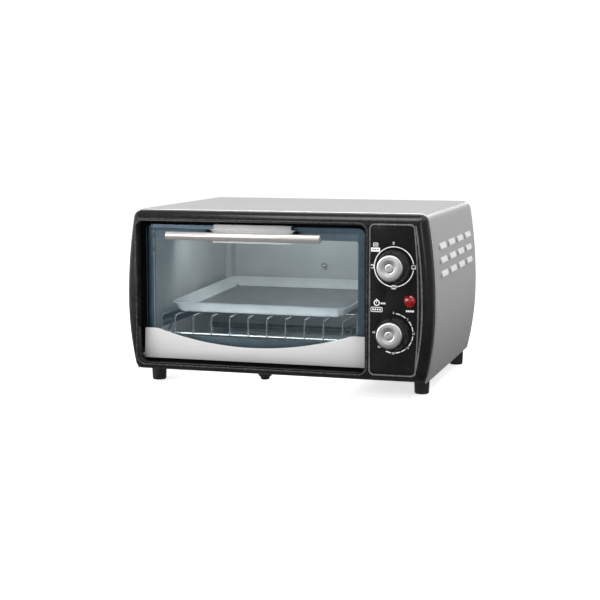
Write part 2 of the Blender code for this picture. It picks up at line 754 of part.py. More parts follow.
def make_knob(prefix, z):
    """Black knob with a pointer groove, silver turned cap in its face, and its shaft."""
    back = PANEL_FACE - 0.0008
    length = back - KNOB_FACE - CAP_THICKNESS
    bore_depth = length - 0.0035
    body = [(0, length), (CAP_RADIUS, length), (KNOB_FACE_RADIUS - 0.0004, length),
            (KNOB_FACE_RADIUS, length - 0.0008), (KNOB_RADIUS - 0.0008, 0.0050),
            (KNOB_RADIUS, 0.0022), (KNOB_RADIUS, 0.0), (SHAFT_RADIUS + GAP, 0.0),
            (SHAFT_RADIUS + GAP, bore_depth), (0, bore_depth)]
    location = (KNOB_X, depth(back), z)
    knob = turned_part(prefix + "_knob", body, BLACK_MATT, location, FACING_FRONT, steps=32)
    groove = add_cutter(prefix + "_groove_cutter", box_mesh((0.0016, 0.0140, 0.0040)),
                        (KNOB_X, depth(back - length + 0.0030), z + KNOB_FACE_RADIUS + 0.0012))
    boolean(knob, groove)
    rise = CAP_THICKNESS - GAP
    cap = [(0, rise - 0.0003), (0.0048, rise - 0.0003), (0.0056, rise - 0.0011),
           (0.0066, rise - 0.0011), (0.0074, rise - 0.0002), (0.0110, rise),
           (CAP_RADIUS - 0.0010, rise - 0.0004), (CAP_RADIUS, rise - 0.0014), (CAP_RADIUS, 0), (0, 0)]
    turned_part(prefix + "_knob_cap", cap, CHROME,
                (KNOB_X, depth(KNOB_FACE + CAP_THICKNESS - GAP), z), FACING_FRONT, steps=32)
    reach = bore_depth - GAP
    shaft_back = FRAME_FRONT + FRAME_SHEET + 0.0004 - back
    shaft = [(0, reach), (SHAFT_RADIUS, reach), (SHAFT_RADIUS, -shaft_back), (0, -shaft_back)]
    turned_part(prefix + "_shaft", shaft, STEEL, location, FACING_FRONT, steps=12)


def make_switch_and_timer():
    front = FRAME_FRONT + FRAME_SHEET + 0.0008
    for name, z, half, length, finish, bevel in (
            ("function_switch", FUNCTION_Z, SWITCH_HALF, SWITCH_LENGTH, PHENOLIC, 0.002),
            ("timer_unit", TIMER_Z, TIMER_HALF, TIMER_LENGTH, STEEL, 0.001)):
        box_part(name, (KNOB_X - half, KNOB_X + half), (front, front + length),
                 (z - half, z + half), finish, bevel)
    bell = [(0, 0.0120), (0.0120, 0.0115), (0.0175, 0.0070), (0.0190, 0.0), (0.0182, 0.0),
            (0.0167, 0.0064), (0.0116, 0.0105), (0, 0.0110)]
    turned_part("timer_bell", bell, STEEL, (KNOB_X, depth(front + TIMER_LENGTH + GAP), TIMER_Z),
                (-math.pi / 2, 0, 0), steps=16)


def make_lamp():
    dome = []
    steps = 5
    for step in range(steps):
        angle = math.pi / 2 * step / steps
        dome.append((LAMP_RADIUS * math.sin(angle), 0.0010 + LAMP_RISE * math.cos(angle)))
    dome += [(LAMP_RADIUS, 0.0010), (LAMP_RADIUS + 0.0006, 0.0008), (LAMP_RADIUS + 0.0006, GAP),
             (0.0056, GAP), (0.0056, -0.0040), (0, -0.0040)]
    turned_part("lamp_lens", dome, ((0.45, 0.01, 0.01), 0.2, 0.0),
                (LAMP_X, depth(PANEL_FACE), LAMP_Z), FACING_FRONT, steps=20)
    holder = [(0, 0.0), (0.0050, 0.0), (0.0050, -0.0230), (0.0020, -0.0230), (0.0020, -0.0280),
              (0, -0.0280)]
    turned_part("lamp_holder", holder, CERAMIC, (LAMP_X, depth(PANEL_FACE + 0.0044), LAMP_Z),
                FACING_FRONT, steps=12)


def make_cord_gland():
    """Hollow bush for the mains lead in the rear cover."""
    ring = [(0.0038, 0.0060), (0.0066, 0.0060), (0.0074, 0.0012), (0.0100, 0.0012), (0.0100, GAP),
            (0.0072, GAP), (0.0072, -0.0060), (0.0038, -0.0060)]
    turned_part("cord_gland", ring, BLACK_MATT, (GLAND_X, depth(CASE_DEPTH - 0.0009), GLAND_Z),
                (-math.pi / 2, 0, 0), steps=16, closed=True)


def make_feet():
    """Tapered moulded feet with a screw recess in the sole."""
    profile = [(0, FOOT_HEIGHT), (FOOT_RADIUS, FOOT_HEIGHT), (FOOT_RADIUS, FOOT_HEIGHT - 0.002),
               (FOOT_RADIUS - 0.0009, 0.0015), (FOOT_RADIUS - 0.00205, 0.0), (0.0036, 0.0),
               (0.0036, 0.0050), (0, 0.0050)]
    for name, (x, back) in FEET.items():
        turned_part(name, profile, BLACK_MATT, (x, depth(back), 0.0), steps=20)


# ---------------------------------------------------------------- door


def trim_outline():
    """Lower strip: straight ends and a long shallow dip between them."""
    x0, x1, bottom = GLASS[0], GLASS[1], GLASS[2]
    over_top, over_bottom = TRIM_OVERHANG
    half = TRIM_DIP_HALF
    sag = TRIM_TOP - TRIM_DIP
    radius = (half ** 2 + sag ** 2) / (2 * sag)
    steps = 16
    points = [(x0 - over_bottom, bottom), (x1 + over_bottom, bottom), (x1 + over_top, TRIM_TOP)]
    for step in range(steps + 1):
        x = half - 2 * half * step / steps
        z = TRIM_DIP + radius - math.sqrt(radius ** 2 - x ** 2)
        points.append((DOOR_MIDDLE + x, z))
    points.append((x0 - over_top, TRIM_TOP))
    return points


def make_door():
    pieces = []
    x0, x1, z0, z1 = GLASS
    screw_holes = [circle(DOOR_MIDDLE + side * STANDOFF_OFFSET, HANDLE_Z, 0.003, 12)
                   for side in (-1, 1)]
    glass_outline = rounded_rectangle(x0, x1, z0, z1, GLASS_RADIUS, 5)
    pieces.append(upright_plate("door_glass", [glass_outline] + screw_holes, GLASS_FRONT, GLASS_BACK,
                                ((0.35, 0.45, 0.50), 0.05, 0.0)))
    pieces.append(upright_plate("door_lower_trim", [trim_outline()], 0.0, GLASS_FRONT - GAP,
                                BRIGHT_TRIM))
    pieces.append(make_hinge_rail())
    for side, tab, outward in (("left", x0 - TAB_OVERHANG, -1), ("right", x1 + TAB_OVERHANG, 1)):
        length = 0.0050
        profile = [(0, length), (PIN_RADIUS - 0.0003, length), (PIN_RADIUS, length - 0.0004),
                   (PIN_RADIUS, 0), (0, 0)]
        pieces.append(turned_part("hinge_pin_" + side, profile, STEEL,
                                  (tab + outward * GAP, depth(HINGE_DEPTH), HINGE_Z),
                                  (0, outward * math.pi / 2, 0), steps=12))
        make_hinge_bracket(side, tab + outward * 0.0021, tab + outward * 0.0037)
    pieces += make_handle()
    pieces += make_rack_hooks()
    attach("door_axis", (DOOR_MIDDLE, depth(HINGE_DEPTH), HINGE_Z), pieces)


def make_hinge_rail():
    """Channel behind the glass's lower edge, with an end tab beside each end of the glass."""
    x0, x1 = GLASS[0], GLASS[1]
    z0 = GLASS[2]
    rail_front = GLASS_BACK + GAP
    rail_back = rail_front + 0.0012
    rail = upright_plate("door_hinge_rail",
                         [[(x0 - TAB_OVERHANG, z0), (x1 + TAB_OVERHANG, z0),
                           (x1 + TAB_OVERHANG, 0.044), (x0 - TAB_OVERHANG, 0.044)]],
                         rail_front, rail_back, STEEL)
    tab_front = GLASS_FRONT
    for side, a, b in (("left", x0 - TAB_OVERHANG, x0 - GAP), ("right", x1 + GAP, x1 + TAB_OVERHANG)):
        height = 0.0055
        size = (b - a, rail_back - 0.0002 - tab_front, height)
        tab = add_cutter("hinge_tab_" + side, box_mesh(size),
                         ((a + b) / 2, depth((tab_front + rail_back - 0.0002) / 2), z0 + height / 2))
        tab.location.z += 0.00001
        boolean(rail, tab, "UNION")
    return rail


def make_hinge_bracket(side, a, b):
    """Fixed plate with the hole that the door's pin turns in."""
    outline = [(0.0008, 0.0290), (0.0076, 0.0290), (0.0076, 0.0420), (0.0008, 0.0420)]
    hole = circle(HINGE_DEPTH, HINGE_Z, PIN_RADIUS + GAP, 12)
    side_plate("hinge_bracket_" + side, [outline, hole], min(a, b), max(a, b), GALVANISED)


def make_handle():
    middle = DOOR_MIDDLE
    pieces = []
    bar_length = HANDLE_ENDS[1] - HANDLE_ENDS[0]
    half = bar_length / 2
    bar = [(0, half), (HANDLE_RADIUS - 0.0004, half), (HANDLE_RADIUS, half - 0.0004),
           (HANDLE_RADIUS, 0.0004 - half), (HANDLE_RADIUS - 0.0004, -half), (0, -half)]
    pieces.append(turned_part("handle_tube", bar, CHROME,
                              ((HANDLE_ENDS[0] + HANDLE_ENDS[1]) / 2, depth(HANDLE_DEPTH), HANDLE_Z),
                              (0, math.pi / 2, 0), steps=24))
    for side, sign in (("left", -1), ("right", 1)):
        pieces.append(make_standoff(side, middle + sign * STANDOFF_OFFSET))
    pieces.append(make_handle_bracket())
    return pieces


def make_standoff(side, x):
    """Oval post, flared where it meets the bracket, with a seat for the handle bar."""
    base_back = GLASS_FRONT - GAP - BRACKET_SHEET - GAP
    sections = ((STANDOFF_STEM, HANDLE_DEPTH + 0.0007), (STANDOFF_STEM, base_back - 0.0110),
                (STANDOFF_BASE, base_back - 0.0045), (STANDOFF_BASE, base_back))
    rings = []
    for (width, height), back in sections:
        ring = circle(x, HANDLE_Z, width / 2, 20, height / width)
        rings.append([(u, depth(back), v) for u, v in ring])
    post = add_part("handle_standoff_" + side, loft_mesh(rings, True, True), BLACK_MATT)
    half = 0.015
    seat = [(0, half), (HANDLE_RADIUS + GAP, half), (HANDLE_RADIUS + GAP, -half), (0, -half)]
    cutter = add_cutter("handle_seat_cutter_" + side, turned_mesh(seat),
                        (x, depth(HANDLE_DEPTH), HANDLE_Z), (0, math.pi / 2, 0))
    return boolean(post, screw(cutter, 24))


def make_handle_bracket():
    """Bright plate behind the handle, folded over the glass's top edge."""
    middle = DOOR_MIDDLE
    back = GLASS_FRONT - GAP
    front = back - BRACKET_SHEET
    plate = upright_plate("handle_bracket", [[(middle + x, z) for x, z in BRACKET_OUTLINE]],
                          front, back, BRIGHT_TRIM)
    fold = [(front + 0.0002, 0.18785), (GLASS_BACK + GAP, 0.18785), (GLASS_BACK + GAP, 0.1835),
            (GLASS_BACK + GAP + 0.0011, 0.1835), (GLASS_BACK + GAP + 0.0011, 0.18875),
            (front + 0.0002, 0.18875)]
    half = 0.0455
    tool = add_cutter("bracket_fold", plate_mesh([fold], 2 * half),
                      (middle, CASE_FRONT, 0), FACING_SIDE)
    return boolean(plate, tool, "UNION")


def make_rack_hooks():
    """Hooks on the door's back that reach over the rack's lip wire and draw it forward.

    Seen from the turning door the wire runs forward and up inside the hook's mouth.
    """
    offset = (RACK_OUTER_HALF + RACK_SECOND_HALF) / 2
    half = HOOK_SHEET / 2
    pieces = []
    for side, sign in (("left", -1), ("right", 1)):
        x = RACK_MIDDLE_X + sign * offset
        pieces.append(side_plate("rack_hook_" + side, [HOOK_OUTLINE], x - half, x + half, STEEL))
    return pieces


# ---------------------------------------------------------------- loose pieces


def rack_wire_places():
    """X of the twelve long wires: an outer pair closer in than the even spacing."""
    inner = [RACK_MIDDLE_X - RACK_SECOND_HALF + i * RACK_PITCH for i in range(10)]
    return [RACK_MIDDLE_X - RACK_OUTER_HALF] + inner + [RACK_MIDDLE_X + RACK_OUTER_HALF]


def make_wire_rack():
    bend = RACK_BEND
    long_wires = []
    for x in rack_wire_places():
        path = [(x, depth(RACK_REAR), RACK_WIRES_Z), (x, depth(RACK_FRONT + bend), RACK_WIRES_Z)]
        for angle in (30, 60):
            turn = math.radians(angle)
            path.append((x, depth(RACK_FRONT + bend - bend * math.sin(turn)),
                         RACK_WIRES_Z - bend + bend * math.cos(turn)))
        path.append((x, depth(RACK_FRONT), RACK_WIRES_Z - bend))
        path.append((x, depth(RACK_FRONT), RACK_LIP_Z - 0.0006))
        long_wires.append(path)
    rack = add_part("wire_rack", wire_mesh(long_wires, WIRE_RADIUS, 1), CHROME)
    left = RACK_MIDDLE_X - RACK_OUTER_HALF
    right = RACK_MIDDLE_X + RACK_OUTER_HALF
    overhang = 0.0012
    under = RACK_WIRES_Z - 1.7 * WIRE_RADIUS
    cross = [[(left - overhang, depth(y), under), (right + overhang, depth(y), under)]
             for y in RACK_CROSS_WIRES]
    cross.append([(left - 0.0006, depth(RACK_FRONT + 1.7 * WIRE_RADIUS), RACK_LIP_Z),
                  (right + 0.0006, depth(RACK_FRONT + 1.7 * WIRE_RADIUS), RACK_LIP_Z)])
    stop = depth(RACK_REAR - 0.002)
    cross.append([(left + 0.0001, stop, RACK_WIRES_Z), (left + 0.0001, stop, RACK_STOP_Z - 0.002),
                  (left + 0.0020, stop, RACK_STOP_Z), (right - 0.0020, stop, RACK_STOP_Z),
                  (right - 0.0001, stop, RACK_STOP_Z - 0.002), (right - 0.0001, stop, RACK_WIRES_Z)])
    crossing = add_cutter("rack_cross_wires", wire_mesh(cross, WIRE_RADIUS, 1))
    boolean(rack, crossing, "UNION")
    attach("rack_slide", (RACK_MIDDLE_X, depth(RACK_FRONT), RACK_WIRES_Z), [rack])


def make_baking_tray():
    """Pressed tray: rolled rim, sloped sides, flat bottom; the sheet is an open skin made thick."""
    half_x, half_y = TRAY_SIZE[0] / 2, TRAY_SIZE[1] / 2
    levels = ((0.0, -0.0022), (0.0, -0.0006), (0.0008, 0.0), (0.0030, 0.0), (0.0042, -0.0012),
              (0.0080, -TRAY_HEIGHT + 0.0022), (0.0102, -TRAY_HEIGHT + 0.0007))
    rings = []
    for inset, z in levels:
        ring = rounded_rectangle(inset - half_x, half_x - inset, inset - half_y, half_y - inset,
                                 TRAY_RADIUS - inset, 5)
        rings.append([(x, y, z) for x, y in ring])
    middle_rim = TRAY_FRONT_RIM_Z + half_y * math.sin(TRAY_TILT)
    tray = add_part("baking_tray", loft_mesh(rings, False, True), TRAY_METAL,
                    (TRAY_CENTRE[0], depth(TRAY_CENTRE[1]), middle_rim), (TRAY_TILT, 0, 0))
    bottom_up = tray.data.polygons[-1].normal.z > 0
    solidify(tray, 0.0007, -1.0 if bottom_up else 1.0)
    return shade_smooth(tray)


def make_crumb_tray():
    x0, x1, y0, y1 = CRUMB
    levels = ((0.0, CRUMB_TOP), (0.0006, CRUMB_BOTTOM + 0.0016), (0.0020, CRUMB_BOTTOM + 0.0001))
    rings = []
    for inset, z in levels:
        ring = rounded_rectangle(x0 + inset, x1 - inset, y0 + inset, y1 - inset, 0.004 - inset, 2)
        rings.append([(x, depth(y), z) for x, y in ring])
    tray = add_part("crumb_tray", loft_mesh(rings, False, True), ALUMINISED)
    bottom_up = tray.data.polygons[-1].normal.z > 0
    solidify(tray, 0.0008, 1.0 if bottom_up else -1.0)
    top = CRUMB_BOTTOM - GAP
    profile = [(0, top), (0.0042, top), (0.0042, 0.0150), (0.0076, 0.0142), (0.0080, 0.0130),
               (0.0078, 0.0092), (0.0056, 0.0084), (0.0052, 0.0054), (0.0046, 0.0048), (0, 0.0048)]
    knob = turned_part("crumb_tray_knob", profile, BLACK_MATT,
                       (CRUMB_KNOB[0], depth(CRUMB_KNOB[1]), 0.0), steps=20)
    attach("crumb_tray_axis", (CRUMB_KNOB[0], depth(CRUMB_HINGE[0]), CRUMB_HINGE[1]), [tray, knob])


make_outer_case()
make_rear_cover()
make_base_plate()
make_front_bezel()
make_control_panel()
make_front_frame()
make_cavity_walls()
make_rack_rails()
make_heaters()
make_thermal_cutoff()
make_knob("function", FUNCTION_Z)
make_knob("timer", TIMER_Z)
make_switch_and_timer()
make_lamp()
make_cord_gland()
make_feet()
make_door()
make_wire_rack()
make_baking_tray()
make_crumb_tray()
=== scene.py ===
"""Looks of a small two-knob toaster oven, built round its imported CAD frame.

Metres, +X right seen from the front, +Y to the back, +Z up, ground at z = 0.
"""

import math

import bmesh
import bpy
from mathutils import Matrix, Vector


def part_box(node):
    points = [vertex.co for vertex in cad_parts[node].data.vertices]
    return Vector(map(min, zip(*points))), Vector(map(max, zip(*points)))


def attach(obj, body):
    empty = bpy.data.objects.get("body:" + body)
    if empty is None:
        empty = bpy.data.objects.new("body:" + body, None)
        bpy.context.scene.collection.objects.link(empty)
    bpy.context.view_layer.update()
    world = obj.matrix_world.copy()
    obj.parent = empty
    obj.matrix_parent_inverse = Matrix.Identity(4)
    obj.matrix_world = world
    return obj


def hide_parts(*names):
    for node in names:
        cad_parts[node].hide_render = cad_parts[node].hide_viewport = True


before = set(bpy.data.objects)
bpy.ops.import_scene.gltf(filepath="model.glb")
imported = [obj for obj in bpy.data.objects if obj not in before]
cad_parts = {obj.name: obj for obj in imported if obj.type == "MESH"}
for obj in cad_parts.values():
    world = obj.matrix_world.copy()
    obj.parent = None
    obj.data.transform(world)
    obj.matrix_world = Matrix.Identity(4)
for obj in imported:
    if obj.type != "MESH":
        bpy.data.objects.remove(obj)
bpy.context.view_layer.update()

SCENE = bpy.context.scene

def linked(name, data):
    thing = bpy.data.objects.new(name, data)
    SCENE.collection.objects.link(thing)
    return thing


# ---- places read from the frame


def low(node):
    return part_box(node)[0]


def high(node):
    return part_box(node)[1]


def centre(node):
    return (low(node) + high(node)) / 2


GAP = 0.0003
FRONT = low("outer_case").y - GAP

CASE_TOP = high("outer_case").z
CASE_BOTTOM = low("outer_case").z
CASE_BACK = high("outer_case").y
CASE_SHEET = 0.0008
WIDEST_Z = 0.0998
WIDEST_HALF = 0.181
TOP_HALF = 0.17125
BOTTOM_HALF = 0.1711
TOP_RADIUS = 0.011
BOTTOM_RADIUS = 0.01

LOUVRE_LENGTH = 0.044
LOUVRE_HEIGHT = 0.0064
LOUVRE_PROUD = 0.0014
LIP_DROP = 0.0005
LOUVRE_ROWS = (0.136, 0.1515, 0.167)
LOUVRE_DEPTHS = (0.052, 0.106, 0.16, 0.214)

BEZEL_FACE = low("front_bezel").y
BEZEL_STEP = 0.0014
BEZEL_ROUNDING = 0.0115
OPENING = (-0.164, 0.1045, 0.029, 0.1925)
PANEL_LOW, PANEL_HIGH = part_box("control_panel")
PANEL_FACE = PANEL_LOW.y
PANEL_RADIUS = 0.005
PANEL_BOW = 0.0048

GLASS_LOW, GLASS_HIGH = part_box("door_glass")
GLASS_BOX = (GLASS_LOW.x, GLASS_HIGH.x, GLASS_LOW.z, GLASS_HIGH.z)
DOOR_MIDDLE = (GLASS_LOW.x + GLASS_HIGH.x) / 2
MOUTH = (-0.1525, 0.091, 0.058, 0.1726)


def at_depth(distance_behind_case_front):
    return FRONT + distance_behind_case_front


# ---- camera, light and floor

CAMERA_AZIMUTH = math.radians(16.598)
CAMERA_ELEVATION = math.radians(7.234)
CAMERA_DISTANCE = 1.65897
CAMERA_TARGET = Vector((-0.00366, at_depth(0.1), 0.09287))
CAMERA_LENS = 83.23


def make_camera():
    back = Vector((math.sin(CAMERA_AZIMUTH) * math.cos(CAMERA_ELEVATION),
                   -math.cos(CAMERA_AZIMUTH) * math.cos(CAMERA_ELEVATION),
                   math.sin(CAMERA_ELEVATION)))
    data = bpy.data.cameras.new("camera")
    data.lens = CAMERA_LENS
    data.sensor_width = 36.0
    data.clip_start = 0.01
    data.clip_end = 50.0
    camera = linked("camera", data)
    camera.location = CAMERA_TARGET + back * CAMERA_DISTANCE
    camera.rotation_euler = (-back).to_track_quat("-Z", "Y").to_euler()
    SCENE.camera = camera


def graded(world, axis, stops):
    """Brightness that follows one axis of the view direction; stops are (direction, value)."""
    split = add_node(world, "SeparateXYZ", {0: add_node(world, "TexCoord", {}).outputs["Generated"]})
    share = add_node(world, "MapRange", {"Value": split.outputs[axis], "From Min": -1.0})
    return ramp(world, share.outputs["Result"], [((place + 1) / 2, tone(value)) for place, value in stops])


def make_world():
    """White studio, dimmer to the right, below, overhead and behind the camera."""
    world = bpy.data.worlds.new("studio")
    SCENE.world = world
    world.use_nodes = True
    product = graded(world, "Z", ((-0.3, 0.16), (-0.02, 1.0), (0.35, 1.0), (0.75, 0.45)))
    for axis, stops in (("X", ((-0.05, 1.0), (0.6, 0.46))), ("Y", ((-0.85, 0.55), (-0.3, 1.0)))):
        factors = {0: product, 1: graded(world, axis, stops)}
        product = add_node(world, "VectorMath", factors, operation="MULTIPLY").outputs["Vector"]
    feed(world, world.node_tree.nodes["Background"], {"Color": product, "Strength": 1.03})


def area_light(name, location, target, size, power):
    data = bpy.data.lights.new(name, "AREA")
    data.shape = "RECTANGLE"
    data.size, data.size_y = size
    data.energy = power
    light = linked(name, data)
    light.location = location
    aim = Vector(target) - Vector(location)
    light.rotation_euler = aim.to_track_quat("-Z", "Y").to_euler()


def make_lights():
    area_light("top_softbox", (1.0, 0.1, 1.5), (0.1, 0, 0.1), (1.3, 1.3), 9)
    area_light("front_softbox", (-1.1, -1.9, 0.9), (0, 0, 0.1), (0.9, 0.8), 15)
    area_light("back_strip", (0.35, 1.5, 0.62), (0.1, 0, 0.2), (0.3, 0.12), 0.45)
    area_light("right_strip", (1.3, -1.2, 0.7), (0.1, -0.1, 0.1), (0.14, 1.2), 4)
    area_light("left_strip", (-1.25, -0.95, 0.5), (-0.1, -0.1, 0.1), (0.12, 1.0), 4)
    area_light("high_bank", (0.1, -0.5, 1.5), (0, -0.1, 0.15), (1.3, 0.6), 17)
    area_light("oven_glow", (-0.031, at_depth(0.085), 0.178), (-0.031, at_depth(0.23), 0.06),
               (0.2, 0.03), 0.185)
    area_light("low_glow", (-0.031, at_depth(0.015), 0.046), (-0.031, at_depth(0.08), 0.092),
               (0.2, 0.012), 0.042)


# ---- node materials


def new_material(name, colour, roughness, metallic=0.0):
    mat = bpy.data.materials.new(name)
    mat.use_nodes = True
    shader = mat.node_tree.nodes["Principled BSDF"]
    shader.inputs["Base Color"].default_value = (*colour, 1.0)
    shader.inputs["Roughness"].default_value = roughness
    shader.inputs["Metallic"].default_value = metallic
    return mat, shader


def feed(owner, node, inputs):
    """Set a node's inputs, or link those whose value is another node's output."""
    for name, value in inputs.items():
        if isinstance(value, bpy.types.NodeSocket):
            owner.node_tree.links.new(value, node.inputs[name])
        else:
            node.inputs[name].default_value = value

def add_node(owner, kind, inputs, **settings):
    node = owner.node_tree.nodes.new("ShaderNode" + kind)
    for key, value in settings.items():
        setattr(node, key, value)
    feed(owner, node, inputs)
    return node

def object_coordinates(mat, scale, offset=(0, 0, 0)):
    source = add_node(mat, "TexCoord", {}).outputs["Object"]
    return add_node(mat, "Mapping", {"Vector": source, "Location": offset, "Scale": scale}).outputs["Vector"]


def noise(mat, scale, detail=3.0, stretch=(1, 1, 1)):
    """Noise of a given fineness, in features per metre along each axis."""
    source = object_coordinates(mat, [scale * s for s in stretch])
    return add_node(mat, "TexNoise", {"Vector": source, "Scale": 1.0, "Detail": detail}).outputs["Fac"]


def ramp(owner, source, stops):
    """Colour that follows a value; stops are (value, colour)."""
    node = add_node(owner, "ValToRGB", {"Fac": source})
    elements = node.color_ramp.elements
    elements[0].position, elements[1].position = stops[0][0], stops[-1][0]
    for _ in stops[1:-1]:
        elements.new(0.5)
    for element, (position, colour) in zip(elements, stops):
        element.position = position
        element.color = (*colour, 1.0)
    return node.outputs["Color"]

def vary_colour(mat, shader, source, dark, light, spread=(0.35, 0.65)):
    feed(mat, shader, {"Base Color": ramp(mat, source, ((spread[0], dark), (spread[1], light)))})


def vary_roughness(mat, shader, source, smooth, rough):
    spread = add_node(mat, "MapRange", {"Value": source, "From Min": 0.3, "From Max": 0.7,
                                        "To Min": smooth, "To Max": rough})
    feed(mat, shader, {"Roughness": spread.outputs["Result"]})


def add_bump(mat, shader, source, depth, strength):
    bump = add_node(mat, "Bump", {"Strength": strength, "Distance": depth, "Height": source})
    feed(mat, shader, {"Normal": bump.outputs["Normal"]})


def tone(value, tint=(1, 1, 1)):
    return tuple(value * t for t in tint)


def brushed(name, value, roughness, metallic=1.0, stretch=(900, 14, 900), tint=(1, 1, 1), spread=0.06):
    """Metal with fine drawn lines along the axis that stretch leaves coarse."""
    mat, shader = new_material(name, tone(value, tint), roughness, metallic)
    lines = noise(mat, 1.0, 4.0, stretch)
    vary_colour(mat, shader, lines, tone(value * (1 - spread), tint), tone(value * (1 + spread), tint))
    vary_roughness(mat, shader, lines, roughness - 0.05, roughness + 0.06)
    add_bump(mat, shader, lines, 0.00002, 0.25)
    return mat


def mottled(name, value, roughness, metallic, scale, tint=(1, 1, 1), spread=0.1, bump=0.00002):
    """Sheet metal with soft cloudy patches and a fine tooth."""
    mat, shader = new_material(name, tone(value, tint), roughness, metallic)
    clouds = noise(mat, scale, 4.0)
    vary_colour(mat, shader, clouds, tone(value * (1 - spread), tint), tone(value * (1 + spread), tint))
    vary_roughness(mat, shader, noise(mat, scale * 3, 3.0), roughness - 0.05, roughness + 0.07)
    add_bump(mat, shader, noise(mat, 2500, 2.0), bump, 0.4)
    return mat


def spangled(name, value, roughness):
    """Galvanised sheet: crystal patches of slightly different grey."""
    mat, shader = new_material(name, tone(value), roughness, 0.85)
    source = object_coordinates(mat, (140, 140, 140))
    cells = add_node(mat, "TexVoronoi", {"Vector": source, "Scale": 1.0})
    grey = add_node(mat, "RGBToBW", {"Color": cells.outputs["Color"]}).outputs["Val"]
    vary_colour(mat, shader, grey, tone(value * 0.86), tone(value * 1.12), (0.2, 0.8))
    vary_roughness(mat, shader, grey, roughness - 0.08, roughness + 0.08)
    add_bump(mat, shader, noise(mat, 2200, 2.0), 0.00002, 0.3)
    return mat


def moulded(name, value, roughness, specular, grain=1800, depth=0.00004, tint=(1, 1, 1)):
    """Moulded plastic with a fine leathery grain."""
    mat, shader = new_material(name, tone(value, tint), roughness)
    shader.inputs["Specular IOR Level"].default_value = specular
    clouds = noise(mat, 60, 3.0)
    vary_colour(mat, shader, clouds, tone(value * 0.8, tint), tone(value * 1.25, tint))
    vary_roughness(mat, shader, noise(mat, 300, 3.0), roughness - 0.05, roughness + 0.07)
    add_bump(mat, shader, noise(mat, grain, 2.0), depth, 0.35)
    return mat


def spun(name, value, roughness, axis_point):
    """Turned metal face: faint concentric tool marks about a knob's axis, with a swept gloss."""
    mat, shader = new_material(name, tone(value), roughness, 1.0)
    source = object_coordinates(mat, (1, 1, 1), (-axis_point.x, 0.0, -axis_point.z))
    rings = add_node(mat, "TexWave", {"Vector": source, "Scale": 400.0, "Distortion": 0.6},
                     wave_type="RINGS", rings_direction="Y").outputs["Fac"]
    vary_colour(mat, shader, rings, tone(value * 0.97), tone(value * 1.02), (0.1, 0.9))
    vary_roughness(mat, shader, rings, roughness - 0.01, roughness + 0.02)
    tangent = add_node(mat, "Tangent", {}, direction_type="RADIAL", axis="Y")
    feed(mat, shader, {"Tangent": tangent.outputs["Tangent"], "Anisotropic": 0.6})
    return mat


def pane(name, per_face_tint, reflect_colour, mirror):
    """Thin tinted glass: light goes straight through, and the skin mirrors a little."""
    mat, shader = new_material(name, reflect_colour, 0.03, 1.0)
    tint = ramp(mat, noise(mat, 35, 3.0), ((0, tone(0.97, per_face_tint)), (1, per_face_tint)))
    clear = add_node(mat, "BsdfTransparent", {"Color": tint})
    fresnel = add_node(mat, "Fresnel", {"IOR": mirror})
    mix = add_node(mat, "MixShader", {"Fac": fresnel.outputs["Fac"], 1: clear.outputs["BSDF"],
                                      2: shader.outputs["BSDF"]})
    feed(mat, mat.node_tree.nodes["Material Output"], {"Surface": mix.outputs["Shader"]})
    return mat


def lamp_glass(name):
    mat, shader = new_material(name, (0.16, 0.003, 0.003), 0.06)
    feed(mat, shader, {"Coat Weight": 0.8, "Coat Roughness": 0.04, "Subsurface Weight": 0.25,
                       "Subsurface Scale": 0.002, "Subsurface Radius": (1.0, 0.1, 0.05)})
    vary_colour(mat, shader, noise(mat, 380, 2.0), (0.1, 0.001, 0.001), (0.24, 0.006, 0.005))
    add_bump(mat, shader, noise(mat, 900, 1.0), 0.00002, 0.3)
    return mat


def ink(name):
    mat, shader = new_material(name, (0.78, 0.78, 0.77), 0.5)
    vary_colour(mat, shader, noise(mat, 3000, 2.0), (0.66, 0.66, 0.66), (0.86, 0.86, 0.85))
    add_bump(mat, shader, noise(mat, 4000, 2.0), 0.00001, 0.3)
    return mat


SILVER = brushed("case_silver", 0.47, 0.36, 0.9, (900, 16, 900))
# Hem: a brighter copy of the case silver, a painted highlight of the lit front edge.
HEM_HIGHLIGHT_SILVER = brushed("hem_painted_highlight", 0.62, 0.3, 0.9, (900, 16, 900))
# Louvres: a much brighter copy of the case silver, a painted highlight of the light the scoops catch.
LOUVRE_HIGHLIGHT_SILVER = brushed("louvre_painted_highlight", 0.82, 0.34, 0.6, (900, 16, 900))
ZINC = spangled("zinc_sheet", 0.42, 0.4)
BEZEL_BLACK = moulded("bezel_black", 0.006, 0.2, 0.3, 1200, 0.00001)
# Lighter copies of the bezel black for the raised lines: painted highlights of the moulding's edges.
RIM_HIGHLIGHT_BLACK = moulded("rim_painted_highlight", 0.085, 0.28, 0.7, 1800, 0.000002)
LIP_HIGHLIGHT_BLACK = moulded("lip_painted_highlight", 0.022, 0.26, 0.45, 1800, 0.000002)
# Near-black, barely reflective sheet: painted shade of the deep gap round the door.
GAP_SHADE_BLACK = moulded("gap_painted_shade", 0.004, 0.6, 0.05, 1800, 0.00002)
PANEL_BLACK = moulded("panel_black", 0.0065, 0.4, 0.12, 2600, 0.00002)
FRAME_STEEL = mottled("frame_steel", 0.24, 0.42, 0.4, 45, (0.85, 1.0, 1.08))
